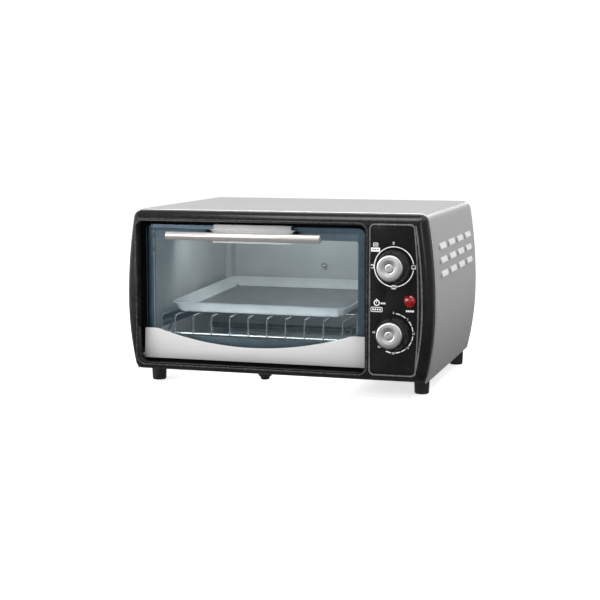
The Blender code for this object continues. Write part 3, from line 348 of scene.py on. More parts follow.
# Rails: a darker copy of the frame steel, painted shade so they sink into the shadow low in the cavity.
RAIL_SHADE_STEEL = mottled("rail_painted_shade", 0.1, 0.5, 0.3, 45, (0.85, 1.0, 1.08))
CAVITY = mottled("cavity_sheet", 0.62, 0.4, 0.2, 28, (0.97, 1.0, 0.99), 0.05)
PHENOLIC = moulded("phenolic", 0.05, 0.45, 0.4, 900, 0.00004, (1.3, 0.8, 0.55))
STEEL = brushed("bare_steel", 0.55, 0.28, 1.0, (300, 300, 300))
CERAMIC = mottled("ceramic_white", 0.7, 0.45, 0.0, 160, (1.0, 0.98, 0.92), 0.05)
KNOB_BLACK = moulded("knob_black", 0.009, 0.32, 0.3, 2200, 0.00003)
TRIM = brushed("trim_silver", 0.455, 0.42, 0.15, (14, 900, 900), (0.99, 0.99, 1.0), 0.03)
# Bright steel for the mouth's bead: a painted highlight of the lit left edge of the mouth.
MOUTH_EDGE_HIGHLIGHT = brushed("mouth_edge_painted_highlight", 0.85, 0.3, 0.3, (400, 400, 400), (0.95, 1.0, 1.0), 0.02)
RACK_CHROME = brushed("rack_chrome", 0.8, 0.18, 1.0, (400, 400, 400), (0.95, 1.0, 1.0), 0.02)
CHROME = brushed("bright_chrome", 0.8, 0.14, 1.0, (400, 400, 400), (1, 1, 1), 0.02)
HANDLE_METAL = brushed("handle_metal", 0.62, 0.3, 0.8, (18, 900, 900), (1.0, 0.96, 0.91), 0.02)
# Tray floor: a darker copy of the tray aluminium, painted shade on the pan's floor.
TRAY_FLOOR_SHADE = mottled("tray_floor_painted_shade", 0.31, 0.34, 0.6, 30, (0.98, 1.0, 1.0), 0.06)
TRAY_METAL = mottled("tray_aluminium", 0.9, 0.36, 0.15, 30, (0.98, 1.0, 1.0), 0.05)
SHEATH = mottled("element_sheath", 0.22, 0.42, 0.6, 70, (1.0, 0.96, 0.9), 0.2)
RUBBER = moulded("foot_rubber", 0.012, 0.48, 0.35, 1200, 0.00005)
INK = ink("white_ink")
LAMP = lamp_glass("lamp_red")
CLEAR = pane("door_glass", (0.93, 0.965, 0.975), (0.5, 0.72, 0.9), 1.6)
# Bevel band: denser, bluer tint as painted shade standing in for the bevel's refraction.
BEVEL_SHADE_GLASS = pane("door_glass_bevel_shade", (0.7, 0.76, 0.8), (0.62, 0.78, 1.0), 1.32)

# ---- mesh helpers


def add_piece(name, mesh, mat, body, replaces=()):
    piece = linked(name, mesh)
    mesh.materials.clear()
    mesh.materials.append(mat)
    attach(piece, body)
    if replaces:
        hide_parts(*replaces)
    return piece


def smooth(mesh, angle=35):
    mesh.shade_smooth()
    mesh.set_sharp_from_angle(angle=math.radians(angle))
    return mesh


def mesh_of(bm):
    bmesh.ops.recalc_face_normals(bm, faces=bm.faces)
    mesh = bpy.data.meshes.new("mesh")
    bm.to_mesh(mesh)
    bm.free()
    return mesh


def applied(mesh, *modifiers):
    """New mesh from a mesh or curve with modifiers applied; each is (type, {setting: value})."""
    holder = linked("holder", mesh)
    for number, (kind, settings) in enumerate(modifiers):
        modifier = holder.modifiers.new(str(number), kind)
        for key, value in settings.items():
            setattr(modifier, key, value)
    evaluated = holder.evaluated_get(bpy.context.evaluated_depsgraph_get())
    result = bpy.data.meshes.new_from_object(evaluated)
    bpy.data.objects.remove(holder)
    return result


def edges_rounded(mesh, width, segments=3, angle=35):
    settings = {"width": width, "segments": segments, "limit_method": "ANGLE",
                "angle_limit": math.radians(angle), "use_clamp_overlap": True}
    return smooth(applied(mesh, ("BEVEL", settings)))


def combined(mesh, *tools):
    """The mesh less its tools, by EXACT Booleans."""
    for tool in tools:
        cutter = linked("cutter", tool)
        mesh = applied(mesh, ("BOOLEAN", {"operation": "DIFFERENCE", "object": cutter, "solver": "EXACT"}))
        bpy.data.objects.remove(cutter)
    return mesh


def turned(profile, origin, axis, steps=64, closed=False):
    """Skin turned about an axis through origin; profile is (radius, distance along axis)."""
    axis = Vector(axis).normalized()
    side = axis.orthogonal().normalized()
    other = axis.cross(side)
    rings = []
    for radius, along in profile:
        base = Vector(origin) + axis * along
        turns = [2 * math.pi * i / steps for i in range(steps if radius > 1e-7 else 1)]
        rings.append([base + side * radius * math.cos(t) + other * radius * math.sin(t) for t in turns])
    return smooth(loft(rings, "joined" if closed else "open"))


def filleted(points, radius, closed=False, steps=3):
    """The polyline with its corners rounded by short curves."""
    rounded = []
    count = len(points)
    for i, point in enumerate(points):
        if not closed and i in (0, count - 1):
            rounded.append(tuple(point))
            continue
        here = Vector(point)
        before = Vector(points[i - 1]) - here
        after = Vector(points[(i + 1) % count]) - here
        reach = min(radius, before.length * 0.45, after.length * 0.45)
        start = here + before.normalized() * reach
        end = here + after.normalized() * reach
        for step in range(steps + 1):
            t = step / steps
            rounded.append(tuple(start * (1 - t) ** 2 + here * 2 * t * (1 - t) + end * t ** 2))
    return rounded


def arc(x, z, radius, start, end, steps):
    """Points of an arc, angles in degrees counter-clockwise from +X."""
    angles = [math.radians(start + (end - start) * step / steps) for step in range(steps + 1)]
    return [(x + radius * math.cos(a), z + radius * math.sin(a)) for a in angles]

def rounded_rectangle(x0, x1, z0, z1, radius, steps=8):
    left, right, bottom, top = x0 + radius, x1 - radius, z0 + radius, z1 - radius
    return (arc(right, bottom, radius, -90, 0, steps) + arc(right, top, radius, 0, 90, steps)
            + arc(left, top, radius, 90, 180, steps) + arc(left, bottom, radius, 180, 270, steps))

def grown(box, grow, radius, steps=8):
    """Rounded outline of an (x0, x1, z0, z1) box grown outwards."""
    return rounded_rectangle(box[0] - grow, box[1] + grow, box[2] - grow, box[3] + grow, radius, steps)

def at_y(y, outline):
    return [(x, y, z) for x, z in outline]


def oval(x, z, half_width, half_height, steps=32):
    return [(x + half_width * math.cos(2 * math.pi * i / steps),
             z + half_height * math.sin(2 * math.pi * i / steps)) for i in range(steps)]


def flat_plate(loops, thickness):
    """Filled 2D curve: the first loop is the outline, the others are holes."""
    curve = bpy.data.curves.new("outline", "CURVE")
    curve.dimensions = "2D"
    curve.fill_mode = "BOTH"
    curve.extrude = thickness / 2
    for loop in loops:
        spline = curve.splines.new("POLY")
        spline.points.add(len(loop) - 1)
        for target, (x, z) in zip(spline.points, loop):
            target.co = (x, z, 0.0, 1.0)
        spline.use_cyclic_u = True
    return welded(curve)


def welded(curve):
    bm = bmesh.new()
    bm.from_mesh(applied(curve))
    bmesh.ops.remove_doubles(bm, verts=bm.verts, dist=0.000005)
    return mesh_of(bm)


UPRIGHT = Matrix.Rotation(math.pi / 2, 4, "X")
SIDEWAYS = Matrix.Rotation(math.pi / 2, 4, "Z") @ UPRIGHT


def upright_plate(loops, front, back):
    """Plate in the XZ plane between two Y values."""
    mesh = flat_plate(loops, back - front)
    mesh.transform(Matrix.Translation((0, (front + back) / 2, 0)) @ UPRIGHT)
    return mesh


def side_plate(loops, x0, x1):
    """Plate in the YZ plane; its loops are (Y, Z) points."""
    mesh = flat_plate(loops, x1 - x0)
    mesh.transform(Matrix.Translation(((x0 + x1) / 2, 0, 0)) @ SIDEWAYS)
    return mesh


def wires(paths, radius, resolution=3, cyclic=False):
    curve = bpy.data.curves.new("wires", "CURVE")
    curve.dimensions = "3D"
    curve.bevel_depth = radius
    curve.bevel_resolution = resolution
    curve.use_fill_caps = True
    for path in paths:
        spline = curve.splines.new("POLY")
        spline.points.add(len(path) - 1)
        for target, point in zip(spline.points, path):
            target.co = (*point, 1.0)
        spline.use_cyclic_u = cyclic
    return smooth(welded(curve), 50)


def loft(rings, ends="both"):
    """Skin over rings of points, one point at a pole; ends: both or last filled, open or joined."""
    bm = bmesh.new()
    rows = [[bm.verts.new(point) for point in ring] for ring in rings]
    pairs = list(zip(rows, rows[1:])) + ([(rows[-1], rows[0])] if ends == "joined" else [])
    for first, second in pairs:
        count = max(len(first), len(second))
        for i in range(count):
            j = (i + 1) % count
            corners = [row[k % len(row)] for row, k in ((first, i), (first, j), (second, j), (second, i))]
            corners = list(dict.fromkeys(corners))
            if len(corners) > 2:
                bm.faces.new(corners)
    if ends == "both":
        bm.faces.new(rows[0])
    if ends in ("both", "last"):
        bm.faces.new(rows[-1])
    return mesh_of(bm)


# ---- case


def half_width(z):
    """Half width of the bowed case at height z."""
    if z > WIDEST_Z:
        share = (z - WIDEST_Z) / (CASE_TOP - WIDEST_Z)
        return WIDEST_HALF - (WIDEST_HALF - TOP_HALF) * share ** 2
    share = (WIDEST_Z - z) / (WIDEST_Z - CASE_BOTTOM)
    return WIDEST_HALF - (WIDEST_HALF - BOTTOM_HALF) * share ** 2


def lean(z):
    step = 0.0005
    return (half_width(z + step) - half_width(z - step)) / (2 * step)


def corner_arc(inset, radius, top, steps):
    """Points of the right upper or lower corner, from the side towards the middle."""
    reach = max(radius - inset, 0.0015)
    slope = -lean(CASE_TOP - radius) if top else lean(CASE_BOTTOM + radius)
    start = math.atan(slope)
    sign = 1 if top else -1
    edge = CASE_TOP - inset if top else CASE_BOTTOM + inset
    join = edge - sign * reach * (1 - math.sin(start))
    middle_x = half_width(join) - inset - reach * math.cos(start)
    middle_z = edge - sign * reach
    points = []
    for step in range(steps + 1):
        angle = start + (math.pi / 2 - start) * step / steps
        points.append((middle_x + reach * math.cos(angle), middle_z + sign * reach * math.sin(angle)))
    return points


def section(inset):
    """Closed case outline offset inwards, with all four corners round."""
    side_steps, corner_steps = 28, 9
    top = corner_arc(inset, TOP_RADIUS, True, corner_steps)
    bottom = corner_arc(inset, BOTTOM_RADIUS, False, corner_steps)
    right = list(reversed(bottom))
    z0, z1 = bottom[0][1], top[0][1]
    for step in range(1, side_steps):
        z = z0 + (z1 - z0) * step / side_steps
        right.append((half_width(z) - inset, z))
    right += top
    return right + [(-x, z) for x, z in reversed(right)]


def louvre_rise(offset_along, offset_up):
    """How far the sheet is pressed out at a place in a louvre: a scoop open below."""
    half = LOUVRE_HEIGHT / 2
    end = min(max((LOUVRE_LENGTH / 2 - abs(offset_along)) / 0.0045, 0.0), 1.0)
    up = min(max((half - offset_up) / (LOUVRE_HEIGHT - 0.0012), 0.0), 1.0)
    return LOUVRE_PROUD * math.sin(end * math.pi / 2) * math.sin(up * math.pi / 2)


def in_louvre(point):
    """Whether a point of the case lies on one of the pressed scoops."""
    return (abs(point.x) > half_width(point.z) + 0.00005
            and any(abs(point.z - z) < LOUVRE_HEIGHT / 2 for z in LOUVRE_ROWS)
            and any(abs(point.y - at_depth(y)) < LOUVRE_LENGTH / 2 - 0.0046 for y in LOUVRE_DEPTHS))


def case_heights(top_join):
    """Heights of the side's rows, closer together in the louvres."""
    half = LOUVRE_HEIGHT / 2
    rows = {CASE_BOTTOM, top_join}
    fine = [half + 0.0012, half + 0.0004, half, half * 0.7, half * 0.35, 0.0, -half * 0.35, -half * 0.65,
            -half, -half - LIP_DROP, -half - LIP_DROP - 0.0004, -half - LIP_DROP - 0.0012]
    for row in LOUVRE_ROWS:
        rows.update(row + offset for offset in fine)
    coarse = 0.0066
    z = CASE_BOTTOM + coarse
    while z < top_join - coarse / 2:
        if all(abs(z - row) > half + coarse / 2 for row in LOUVRE_ROWS):
            rows.add(z)
        z += coarse
    return sorted(rows)


def case_columns():
    """(distance behind the front, inset) of the sheet's columns, from the hem's return to the back."""
    roll = 0.00095
    columns = [(0.005, 2 * roll)]
    for step in range(9):
        angle = math.pi * (1 - step / 8)
        columns.append((GAP + roll - roll * math.sin(angle), roll - roll * math.cos(angle)))
    length = CASE_BACK - FRONT
    ends = [-0.0012, -0.0004, 0.0, 0.0015, 0.003, 0.0045, 0.01, 0.016, 0.022]
    places = {0.006, 0.014, 0.022, length}
    for middle in LOUVRE_DEPTHS:
        for reach in ends:
            places.add(middle - LOUVRE_LENGTH / 2 + reach)
            places.add(middle + LOUVRE_LENGTH / 2 - reach)
    places.update(length - step for step in (0.002, 0.008, 0.016))
    return columns + [(y, 0.0) for y in sorted(round(p, 5) for p in places)]


def make_case():
    """One folded sheet with a rolled front hem and pressed louvres in both sides."""
    top = corner_arc(0.0, TOP_RADIUS, True, 10)
    heights = case_heights(top[0][1])
    columns = case_columns()
    middle_steps = 10

    def outline(inset):
        """(x, z, outward direction) from the bottom right over the top to the bottom left."""
        right = []
        for z in heights[:-1]:
            tilt = math.atan(lean(z))
            right.append((half_width(z) - inset * math.cos(tilt), z + inset * math.sin(tilt),
                          (math.cos(tilt), -math.sin(tilt))))
        for x, z in corner_arc(inset, TOP_RADIUS, True, 10):
            right.append((x, z, (0.0, 1.0)))
        span = right[-1][0]
        flat = [(span - 2 * span * step / middle_steps, CASE_TOP - inset, (0.0, 1.0))
                for step in range(1, middle_steps)]
        left = [(-x, z, (-out[0], out[1])) for x, z, out in reversed(right)]
        return right + flat + left

    bm = bmesh.new()
    grid = []
    for y, inset in columns:
        row = []
        for x, z, out in outline(inset):
            rise = 0.0
            if inset == 0.0 and out[0]:
                for louvre_z in LOUVRE_ROWS:
                    for louvre_y in LOUVRE_DEPTHS:
                        if abs(z - louvre_z) < LOUVRE_HEIGHT / 2 + 1e-6:
                            rise += louvre_rise(y - louvre_y, z - louvre_z)
            row.append(bm.verts.new((x + out[0] * rise, at_depth(y), z + out[1] * rise)))
        grid.append(row)
    slot_half = LOUVRE_LENGTH / 2 - 0.0028
    for c in range(len(grid) - 1):
        y = (columns[c][0] + columns[c + 1][0]) / 2
        for i in range(len(grid[c]) - 1):
            quad = (grid[c][i], grid[c][i + 1], grid[c + 1][i + 1], grid[c + 1][i])
            z = sum(v.co.z for v in quad) / 4
            x = abs(quad[0].co.x)
            in_slot = x > BOTTOM_HALF - 0.002 and any(
                abs(z - (louvre_z - (LOUVRE_HEIGHT + LIP_DROP) / 2)) < LIP_DROP * 0.8
                for louvre_z in LOUVRE_ROWS)
            if in_slot and any(abs(y - louvre_y) < slot_half for louvre_y in LOUVRE_DEPTHS):
                continue
            bm.faces.new(quad)
    mesh = bpy.data.meshes.new("case")
    bmesh.ops.recalc_face_normals(bm, faces=bm.faces)
    probe = max(bm.faces, key=lambda f: f.calc_center_median().z)
    if probe.normal.z < 0:
        bmesh.ops.reverse_faces(bm, faces=bm.faces)
    bm.to_mesh(mesh)
    bm.free()
    mesh = applied(mesh, ("SOLIDIFY", {"thickness": CASE_SHEET, "offset": -1.0}))
    case = add_piece("case_shell", smooth(mesh, 40), SILVER, "root", ["outer_case"])
    case.data.materials.append(HEM_HIGHLIGHT_SILVER)
    case.data.materials.append(LOUVRE_HIGHLIGHT_SILVER)
    for face in case.data.polygons:
        # Hem faces get the brighter silver as a painted highlight.
        if face.center.y < at_depth(0.0021):
            face.material_index = 1
        # Scoop faces get the brighter silver as a painted highlight.
        elif in_louvre(face.center):
            face.material_index = 2


# ---- front moulding and panel


def panel_side(z):
    share = (z - WIDEST_Z) / (PANEL_HIGH.z - WIDEST_Z)
    return PANEL_HIGH.x - PANEL_BOW * share ** 2


def panel_outline(grow):
    """Panel outline with a bowed right side, grown outwards."""
    radius, steps, side_steps = PANEL_RADIUS, 6, 24
    left, bottom, top = PANEL_LOW.x - grow + radius, PANEL_LOW.z - grow + radius, PANEL_HIGH.z + grow - radius
    heights = [bottom + (top - bottom) * step / side_steps for step in range(1, side_steps)]
    return (arc(panel_side(bottom) + grow - radius, bottom, radius, -90, 0, steps)
            + [(panel_side(z) + grow, z) for z in heights]
            + arc(panel_side(top) + grow - radius, top, radius, 0, 90, steps)
            + arc(left, top, radius, 90, 180, steps) + arc(left, bottom, radius, 180, 270, steps))


def control_holes(shaft_radius, lamp_radius):
    """Outlines of round holes for both shafts and the lamp."""
    radii = {"function_shaft": shaft_radius, "timer_shaft": shaft_radius, "lamp_holder": lamp_radius}
    return [oval(centre(node).x, centre(node).z, radius, radius) for node, radius in radii.items()]

def make_bezel():
    """Black moulding whose bowed rim meets the flat face at a soft crease."""
    steps = 12
    final = math.radians(74)
    levels = [(BEZEL_STEP, FRONT)]
    for step in range(steps + 1):
        angle = final * step / steps
        levels.append((BEZEL_STEP + BEZEL_ROUNDING * (1 - math.cos(angle)) / (1 - math.cos(final)),
                       BEZEL_FACE + BEZEL_ROUNDING * (1 - math.sin(angle) / math.sin(final))))
    mesh = loft([at_y(y, section(inset)) for inset, y in levels])
    floor = PANEL_FACE + 0.0016
    tools = [upright_plate([rounded_rectangle(*OPENING, 0.008)], BEZEL_FACE - 0.01, FRONT + 0.01),
             upright_plate([panel_outline(0.0005)], BEZEL_FACE - 0.01, floor),
             upright_plate([panel_outline(0.0008)], floor + 0.0016, FRONT + 0.01)]
    tools += [upright_plate([hole], floor - 0.002, FRONT) for hole in control_holes(0.0048, 0.0062)]
    mesh = combined(mesh, *tools)
    add_piece("bezel_moulding", edges_rounded(mesh, 0.0009, 3, 40), BEZEL_BLACK, "root",
              ["front_bezel"])


def make_rims():
    """Raised lines round the panel and the opening and down the face's right side, whose lighter black is a
    painted highlight on top of their real gloss, and a matt black border that is painted shade of the door's
    gap.
    """
    crease = [(half_width(z) - BEZEL_STEP - BEZEL_ROUNDING - 0.0002, z)
              for z in [PANEL_LOW.z + (PANEL_HIGH.z - PANEL_LOW.z) * step / 24 for step in range(25)]]
    for name, line, cyclic, finish in (("panel_rim", panel_outline(0.0011), True, RIM_HIGHLIGHT_BLACK),
                                       ("face_crease", crease, False, RIM_HIGHLIGHT_BLACK),
                                       ("opening_rim", grown(OPENING, 0.002, 0.01), True, LIP_HIGHLIGHT_BLACK)):
        mesh = wires([at_y(BEZEL_FACE + 0.0002, line)], 0.0009, 4, cyclic)
        add_piece(name, mesh, finish, "root")
    # Matt black ring over the frame between the opening and the glass: painted shade of the recess.
    front = low("front_frame").y
    loops = [grown(OPENING, 0.004, 0.008), grown(GLASS_BOX, -0.0004, 0.007)]
    add_piece("door_gap_shade", upright_plate(loops, front - 0.0008, front - 0.0002), GAP_SHADE_BLACK, "root")


def make_panel():
    """Control panel with softened edges and clearance holes."""
    loops = [panel_outline(0.0)] + control_holes(0.004, 0.006)
    mesh = upright_plate(loops, PANEL_FACE, PANEL_HIGH.y)
    add_piece("panel_plate", edges_rounded(mesh, 0.00035, 2, 40), PANEL_BLACK, "root",
              ["control_panel"])


# ---- printed marks

INK_PROUD = 0.00006
DIAL_RING = 0.0218
DIAL_LINE = 0.001


def dial_arc(x, z, start, end):
    """Shape of a band of a dial's ring between two angles in degrees."""
    count = max(2, int(abs(end - start) / 4) + 1)
    return [arc(x, z, DIAL_RING + DIAL_LINE / 2, start, end, count)
            + arc(x, z, DIAL_RING - DIAL_LINE / 2, end, start, count)]


def bar(x, z, width, height):
    return [(x - width / 2, z - height / 2), (x + width / 2, z - height / 2),
            (x + width / 2, z + height / 2), (x - width / 2, z + height / 2)]

def bar_row(x, z, count, pitch, width, height):
    """Shapes of bars side by side, centred on x."""
    return [[bar(x + (step - (count - 1) / 2) * pitch, z, width, height)] for step in range(count)]


def frame_shape(x, z, width, height, line, radius=0.0006):
    """Rounded outline box, as an outline loop and its hole."""
    box = (x - width / 2, x + width / 2, z - height / 2, z + height / 2)
    return [grown(box, 0.0, radius, 4), grown(box, -line, max(radius - line, 0.0002), 4)]


def numeral(text, x, z, height):
    curve = bpy.data.curves.new("numeral", "FONT")
    curve.body = text
    curve.size = height * 1.35
    curve.align_x = "CENTER"
    curve.align_y = "CENTER"
    curve.extrude = INK_PROUD / 2
    curve.resolution_u = 3
    mesh = welded(curve)
    mesh.transform(Matrix.Translation((x, PANEL_FACE - INK_PROUD / 2, z)) @ UPRIGHT)
    return mesh


def printed(name, shapes, numerals=()):
    """All marks of one control as a single skin of ink."""
    bm = bmesh.new()
    for loops in shapes:
        bm.from_mesh(upright_plate(loops, PANEL_FACE - INK_PROUD, PANEL_FACE - 0.00001))
    for mesh in numerals:
        bm.from_mesh(mesh)
    add_piece(name, mesh_of(bm), INK, "root")


def make_function_print():
    x, z = centre("function_shaft").x, centre("function_shaft").z
    shapes = [dial_arc(x, z, 9, 263), dial_arc(x, z, 277, 351)]
    for mark_x, mark_z, marks in ((x + DIAL_RING, z, "low"), (x, z - DIAL_RING - 0.0004, "both"),
                                  (x - DIAL_RING - 0.003, z, "high")):
        shapes.append(frame_shape(mark_x, mark_z, 0.0048, 0.0042, 0.0006))
        if marks != "low":
            shapes.append([bar(mark_x, mark_z + 0.0009, 0.0026, 0.0005)])
        if marks != "high":
            shapes.append([bar(mark_x, mark_z - 0.0009, 0.0026, 0.0005)])
    shapes.append(frame_shape(x - 0.0205, z + 0.0238, 0.0056, 0.004, 0.0006))
    shapes.append([bar(x - 0.0205, z + 0.0238, 0.003, 0.0006)])
    box = rounded_rectangle(x - 0.0258, x - 0.0156, z + 0.016, z + 0.0205, 0.0006, 4)
    shapes.append([box] + [oval(x - 0.0207 + step * 0.0028, z + 0.01825, 0.0008, 0.0008, 12)
                           for step in (-1, 0, 1)])
    printed("function_print", shapes, [numeral("0", x - 0.0006, z + 0.0254, 0.0036)])


def make_timer_print():
    x, z = centre("timer_shaft").x, centre("timer_shaft").z
    shapes = [dial_arc(x, z, start - near, start - far)
              for start in (90, 45, 0, -45) for near, far in ((7, 21), (24, 38))]
    shapes.append(dial_arc(x, z, -97, -112))
    numerals = []
    for index, angle in enumerate((90, 45, 0, -45, -90, -135, -180)):
        turn = math.radians(angle)
        numerals.append(numeral(str(5 * index), x + (DIAL_RING + 0.0004) * math.cos(turn),
                                z + (DIAL_RING + 0.0004) * math.sin(turn), 0.0024))
    clock_x, clock_z = x - 0.0189, z + 0.0328
    shapes.append([oval(clock_x, clock_z, 0.0034, 0.0034, 28), oval(clock_x, clock_z, 0.0024, 0.0024, 28)])
    shapes.append([bar(clock_x, clock_z + 0.0039, 0.001, 0.0011)])
    shapes.append([bar(clock_x - 0.0003, clock_z + 0.0007, 0.0007, 0.002)])
    shapes += bar_row(clock_x + 0.0071, clock_z - 0.0004, 3, 0.0019, 0.0013, 0.0019)
    shapes.append(frame_shape(x - 0.019, z + 0.0255, 0.0132, 0.0054, 0.0007, 0.001))
    shapes += bar_row(x - 0.019, z + 0.0255, 4, 0.0026, 0.0016, 0.0019)
    printed("timer_print", shapes, numerals)


def make_lamp_print():
    place = centre("lamp_holder")
    printed("lamp_print", bar_row(place.x + 0.0002, place.z - 0.011, 4, 0.0023, 0.0017, 0.002))


# ---- knobs and lamp


def make_knob(prefix):
    """Conical knob with a stepped face, a pointer notch and a turned silver cap."""
    body, knob, cap = prefix + "_dial", prefix + "_knob", prefix + "_knob_cap"
    place = centre(prefix + "_shaft")
    back, front = high(knob).y, low(knob).y
    length = back - front
    outer = (high(knob).x - low(knob).x) / 2
    cap_radius = (high(cap).x - low(cap).x) / 2
    profile = [(0, length), (cap_radius + 0.0002, length), (cap_radius + 0.0006, length - 0.0004),
               (cap_radius + 0.001, length - 0.0001), (outer - 0.0018, length - 0.0042),
               (outer - 0.0014, length - 0.0044), (outer - 0.0006, 0.0045), (outer, 0.003),
               (outer, 0.0), (0.0034, 0.0), (0.0034, length - 0.0038), (0, length - 0.0038)]
    toward = (0, -1, 0)
    mesh = turned(filleted(profile, 0.0005), (place.x, back, place.z), toward, 96)
    notch = flat_plate([rounded_rectangle(-0.0009, 0.0009, 0.0, 0.005, 0.0007, 4)], 0.012)
    notch.transform(Matrix.Translation((place.x, front + 0.003, place.z + outer - 0.0034)) @ UPRIGHT)
    mesh = smooth(combined(mesh, notch), 30)
    add_piece(prefix + "_knob_body", mesh, KNOB_BLACK, body, [knob])
    rise = high(cap).y - low(cap).y
    profile = [(0, rise - 0.0004), (0.004, rise - 0.0004), (0.0046, rise - 0.0006), (0.0052, rise - 0.0006),
               (0.0058, rise - 0.0003), (0.0095, rise), (cap_radius - 0.0014, rise - 0.0001),
               (cap_radius - 0.0005, rise - 0.0005), (cap_radius, rise - 0.0014), (cap_radius, 0), (0, 0)]
    mesh = turned(filleted(profile, 0.0003), (place.x, high(cap).y, place.z), toward, 96)
    finish = spun(prefix + "_cap_metal", 0.84, 0.3, place)
    add_piece(prefix + "_cap_disc", mesh, finish, body, [cap])


def make_lamp():
    """Domed red lens in a thin dark collar."""
    place = centre("lamp_holder")
    radius = 0.0067
    rise = -(low("lamp_lens").y - PANEL_FACE) - 0.001
    dome = [(0.0, 0.001 + rise)]
    for step in range(1, 12):
        angle = math.pi / 2 * step / 12
        dome.append((radius * math.sin(angle), 0.001 + rise * math.cos(angle)))
    dome += [(radius, 0.0008), (radius, GAP), (0.0054, GAP), (0.0054, -0.0038), (0, -0.0038)]
    mesh = turned(dome, (place.x, PANEL_FACE, place.z), (0, -1, 0), 64)
    add_piece("lamp_dome", mesh, LAMP, "root", ["lamp_lens"])
    collar = [(radius + 0.00015, 0.0002), (radius + 0.0008, 0.0002), (radius + 0.0009, 0.0007),
              (radius + 0.0005, 0.0013), (radius + 0.00015, 0.0013)]
    mesh = turned(filleted(collar, 0.0002, True), (place.x, PANEL_FACE, place.z), (0, -1, 0), 64, True)
    add_piece("lamp_collar", mesh, BEZEL_BLACK, "root")


# ---- door


def make_glass():
    """Pane whose front edge is ground to a wide shallow bevel, with screw holes."""
    x0, x1, z0, z1 = GLASS_BOX
    radius = 0.007
    front, back = GLASS_LOW.y, GLASS_HIGH.y
    band, drop = 0.0066, 0.0011
    levels = ((0.0003, back), (0.0, back - 0.0003), (0.0, front + drop), (0.0001, front + drop * 0.9),
              (band, front + 0.00002), (band + 0.0003, front))
    mesh = loft([at_y(y, grown(GLASS_BOX, -inset, max(radius - inset, 0.001), 10)) for inset, y in levels])
    holes = [upright_plate([oval(centre("handle_standoff_" + side).x, centre("handle_tube").z,
                                 0.003, 0.003)], front - 0.01, back + 0.01) for side in ("left", "right")]
    mesh = smooth(combined(mesh, *holes), 20)
    glass = add_piece("door_pane", mesh, CLEAR, "door", ["door_glass"])
    glass.data.materials.append(BEVEL_SHADE_GLASS)
    # Bevelled front faces near the edge get the denser tint, painted refraction shade.
    for face in glass.data.polygons:
        middle = face.center
        near_edge = min(middle.x - x0, x1 - middle.x, middle.z - z0, z1 - middle.z) < band
        if near_edge and middle.y < back - 0.0001:
            face.material_index = 1


def make_trim():
    """Bright strip along the door's foot: square ends and a long shallow dip."""
    x0, x1 = low("door_lower_trim").x, high("door_lower_trim").x
    bottom, top = low("door_lower_trim").z, high("door_lower_trim").z
    half, dip, slant = 0.1155, 0.049, 0.001
    sag = top - dip
    radius = (half ** 2 + sag ** 2) / (2 * sag)
    steps = 60
    points = [(x0, bottom), (x1, bottom), (x1 - slant, top)]
    for step in range(steps + 1):
        x = half - 2 * half * step / steps
        points.append((DOOR_MIDDLE + x, dip + radius - math.sqrt(radius ** 2 - x ** 2)))
    points.append((x0 + slant, top))
    mesh = upright_plate([points], low("door_lower_trim").y, high("door_lower_trim").y)
    add_piece("trim_strip", edges_rounded(mesh, 0.0002, 2, 30), TRIM, "door",
              ["door_lower_trim"])


def make_handle():
    """Round bar with softened ends, two oval posts and the folded bracket."""
    start, end = low("handle_tube"), high("handle_tube")
    radius = (end.z - start.z) / 2
    half = (end.x - start.x) / 2
    middle = centre("handle_tube")
    profile = [(0, half), (radius, half), (radius, -half), (0, -half)]
    mesh = turned(filleted(profile, 0.0009, False, 5), middle, (1, 0, 0), 64)
    add_piece("handle_bar", mesh, HANDLE_METAL, "door", ["handle_tube"])
    for side in ("left", "right"):
        node = "handle_standoff_" + side
        place = centre(node)
        tall, wide = high(node).z - low(node).z, high(node).x - low(node).x
        back, front = high(node).y, low(node).y
        levels = ((0.69, front), (0.69, back - 0.011), (0.74, back - 0.0085), (0.86, back - 0.006),
                  (0.97, back - 0.004), (1.0, back - 0.0022), (1.0, back - 0.0003), (0.97, back))
        post = loft([at_y(y, oval(place.x, middle.z, wide / 2 * share, tall / 2 * share, 48))
                     for share, y in levels])
        seat = turned([(0, 0.02), (radius + GAP, 0.02), (radius + GAP, -0.02), (0, -0.02)],
                      (place.x, middle.y, middle.z), (1, 0, 0), 64)
        add_piece("handle_post_" + side, smooth(combined(post, seat)), KNOB_BLACK, "door",
                  [node])
    make_bracket()


def make_bracket():
    """Bright plate with curved wings, folded over the top edge of the glass."""
    node = "handle_bracket"
    top, bottom = high(node).z, low(node).z
    front = low(node).y
    sheet = 0.0014
    left_half = [(-0.0458, top), (-0.0458, 0.185), (-0.0463, 0.1843), (-0.0478, 0.1839),
                 (-0.0505, 0.1836), (-0.0513, 0.1828), (-0.0509, 0.181), (-0.0475, bottom + 0.0015),
                 (-0.0463, bottom)]
    outline = left_half + [(-x - 0.0015, z) if z < 0.17 else (-x, z) for x, z in reversed(left_half)]
    points = [(DOOR_MIDDLE + x, z) for x, z in outline]
    mesh = edges_rounded(upright_plate([points], front, front + sheet), 0.0003, 2, 50)
    add_piece("bracket_plate", mesh, TRIM, "door", [node])
    back = high(node).y
    thickness = 0.001
    fold = [(front + sheet + 0.00005, top - thickness), (back - thickness, top - thickness),
            (back - thickness, 0.1836), (back, 0.1836), (back, top), (front + sheet + 0.00005, top)]
    half = 0.0455
    mesh = side_plate([filleted(fold, 0.0004, True)], DOOR_MIDDLE - half, DOOR_MIDDLE + half)
    add_piece("bracket_fold", smooth(mesh), TRIM, "door")


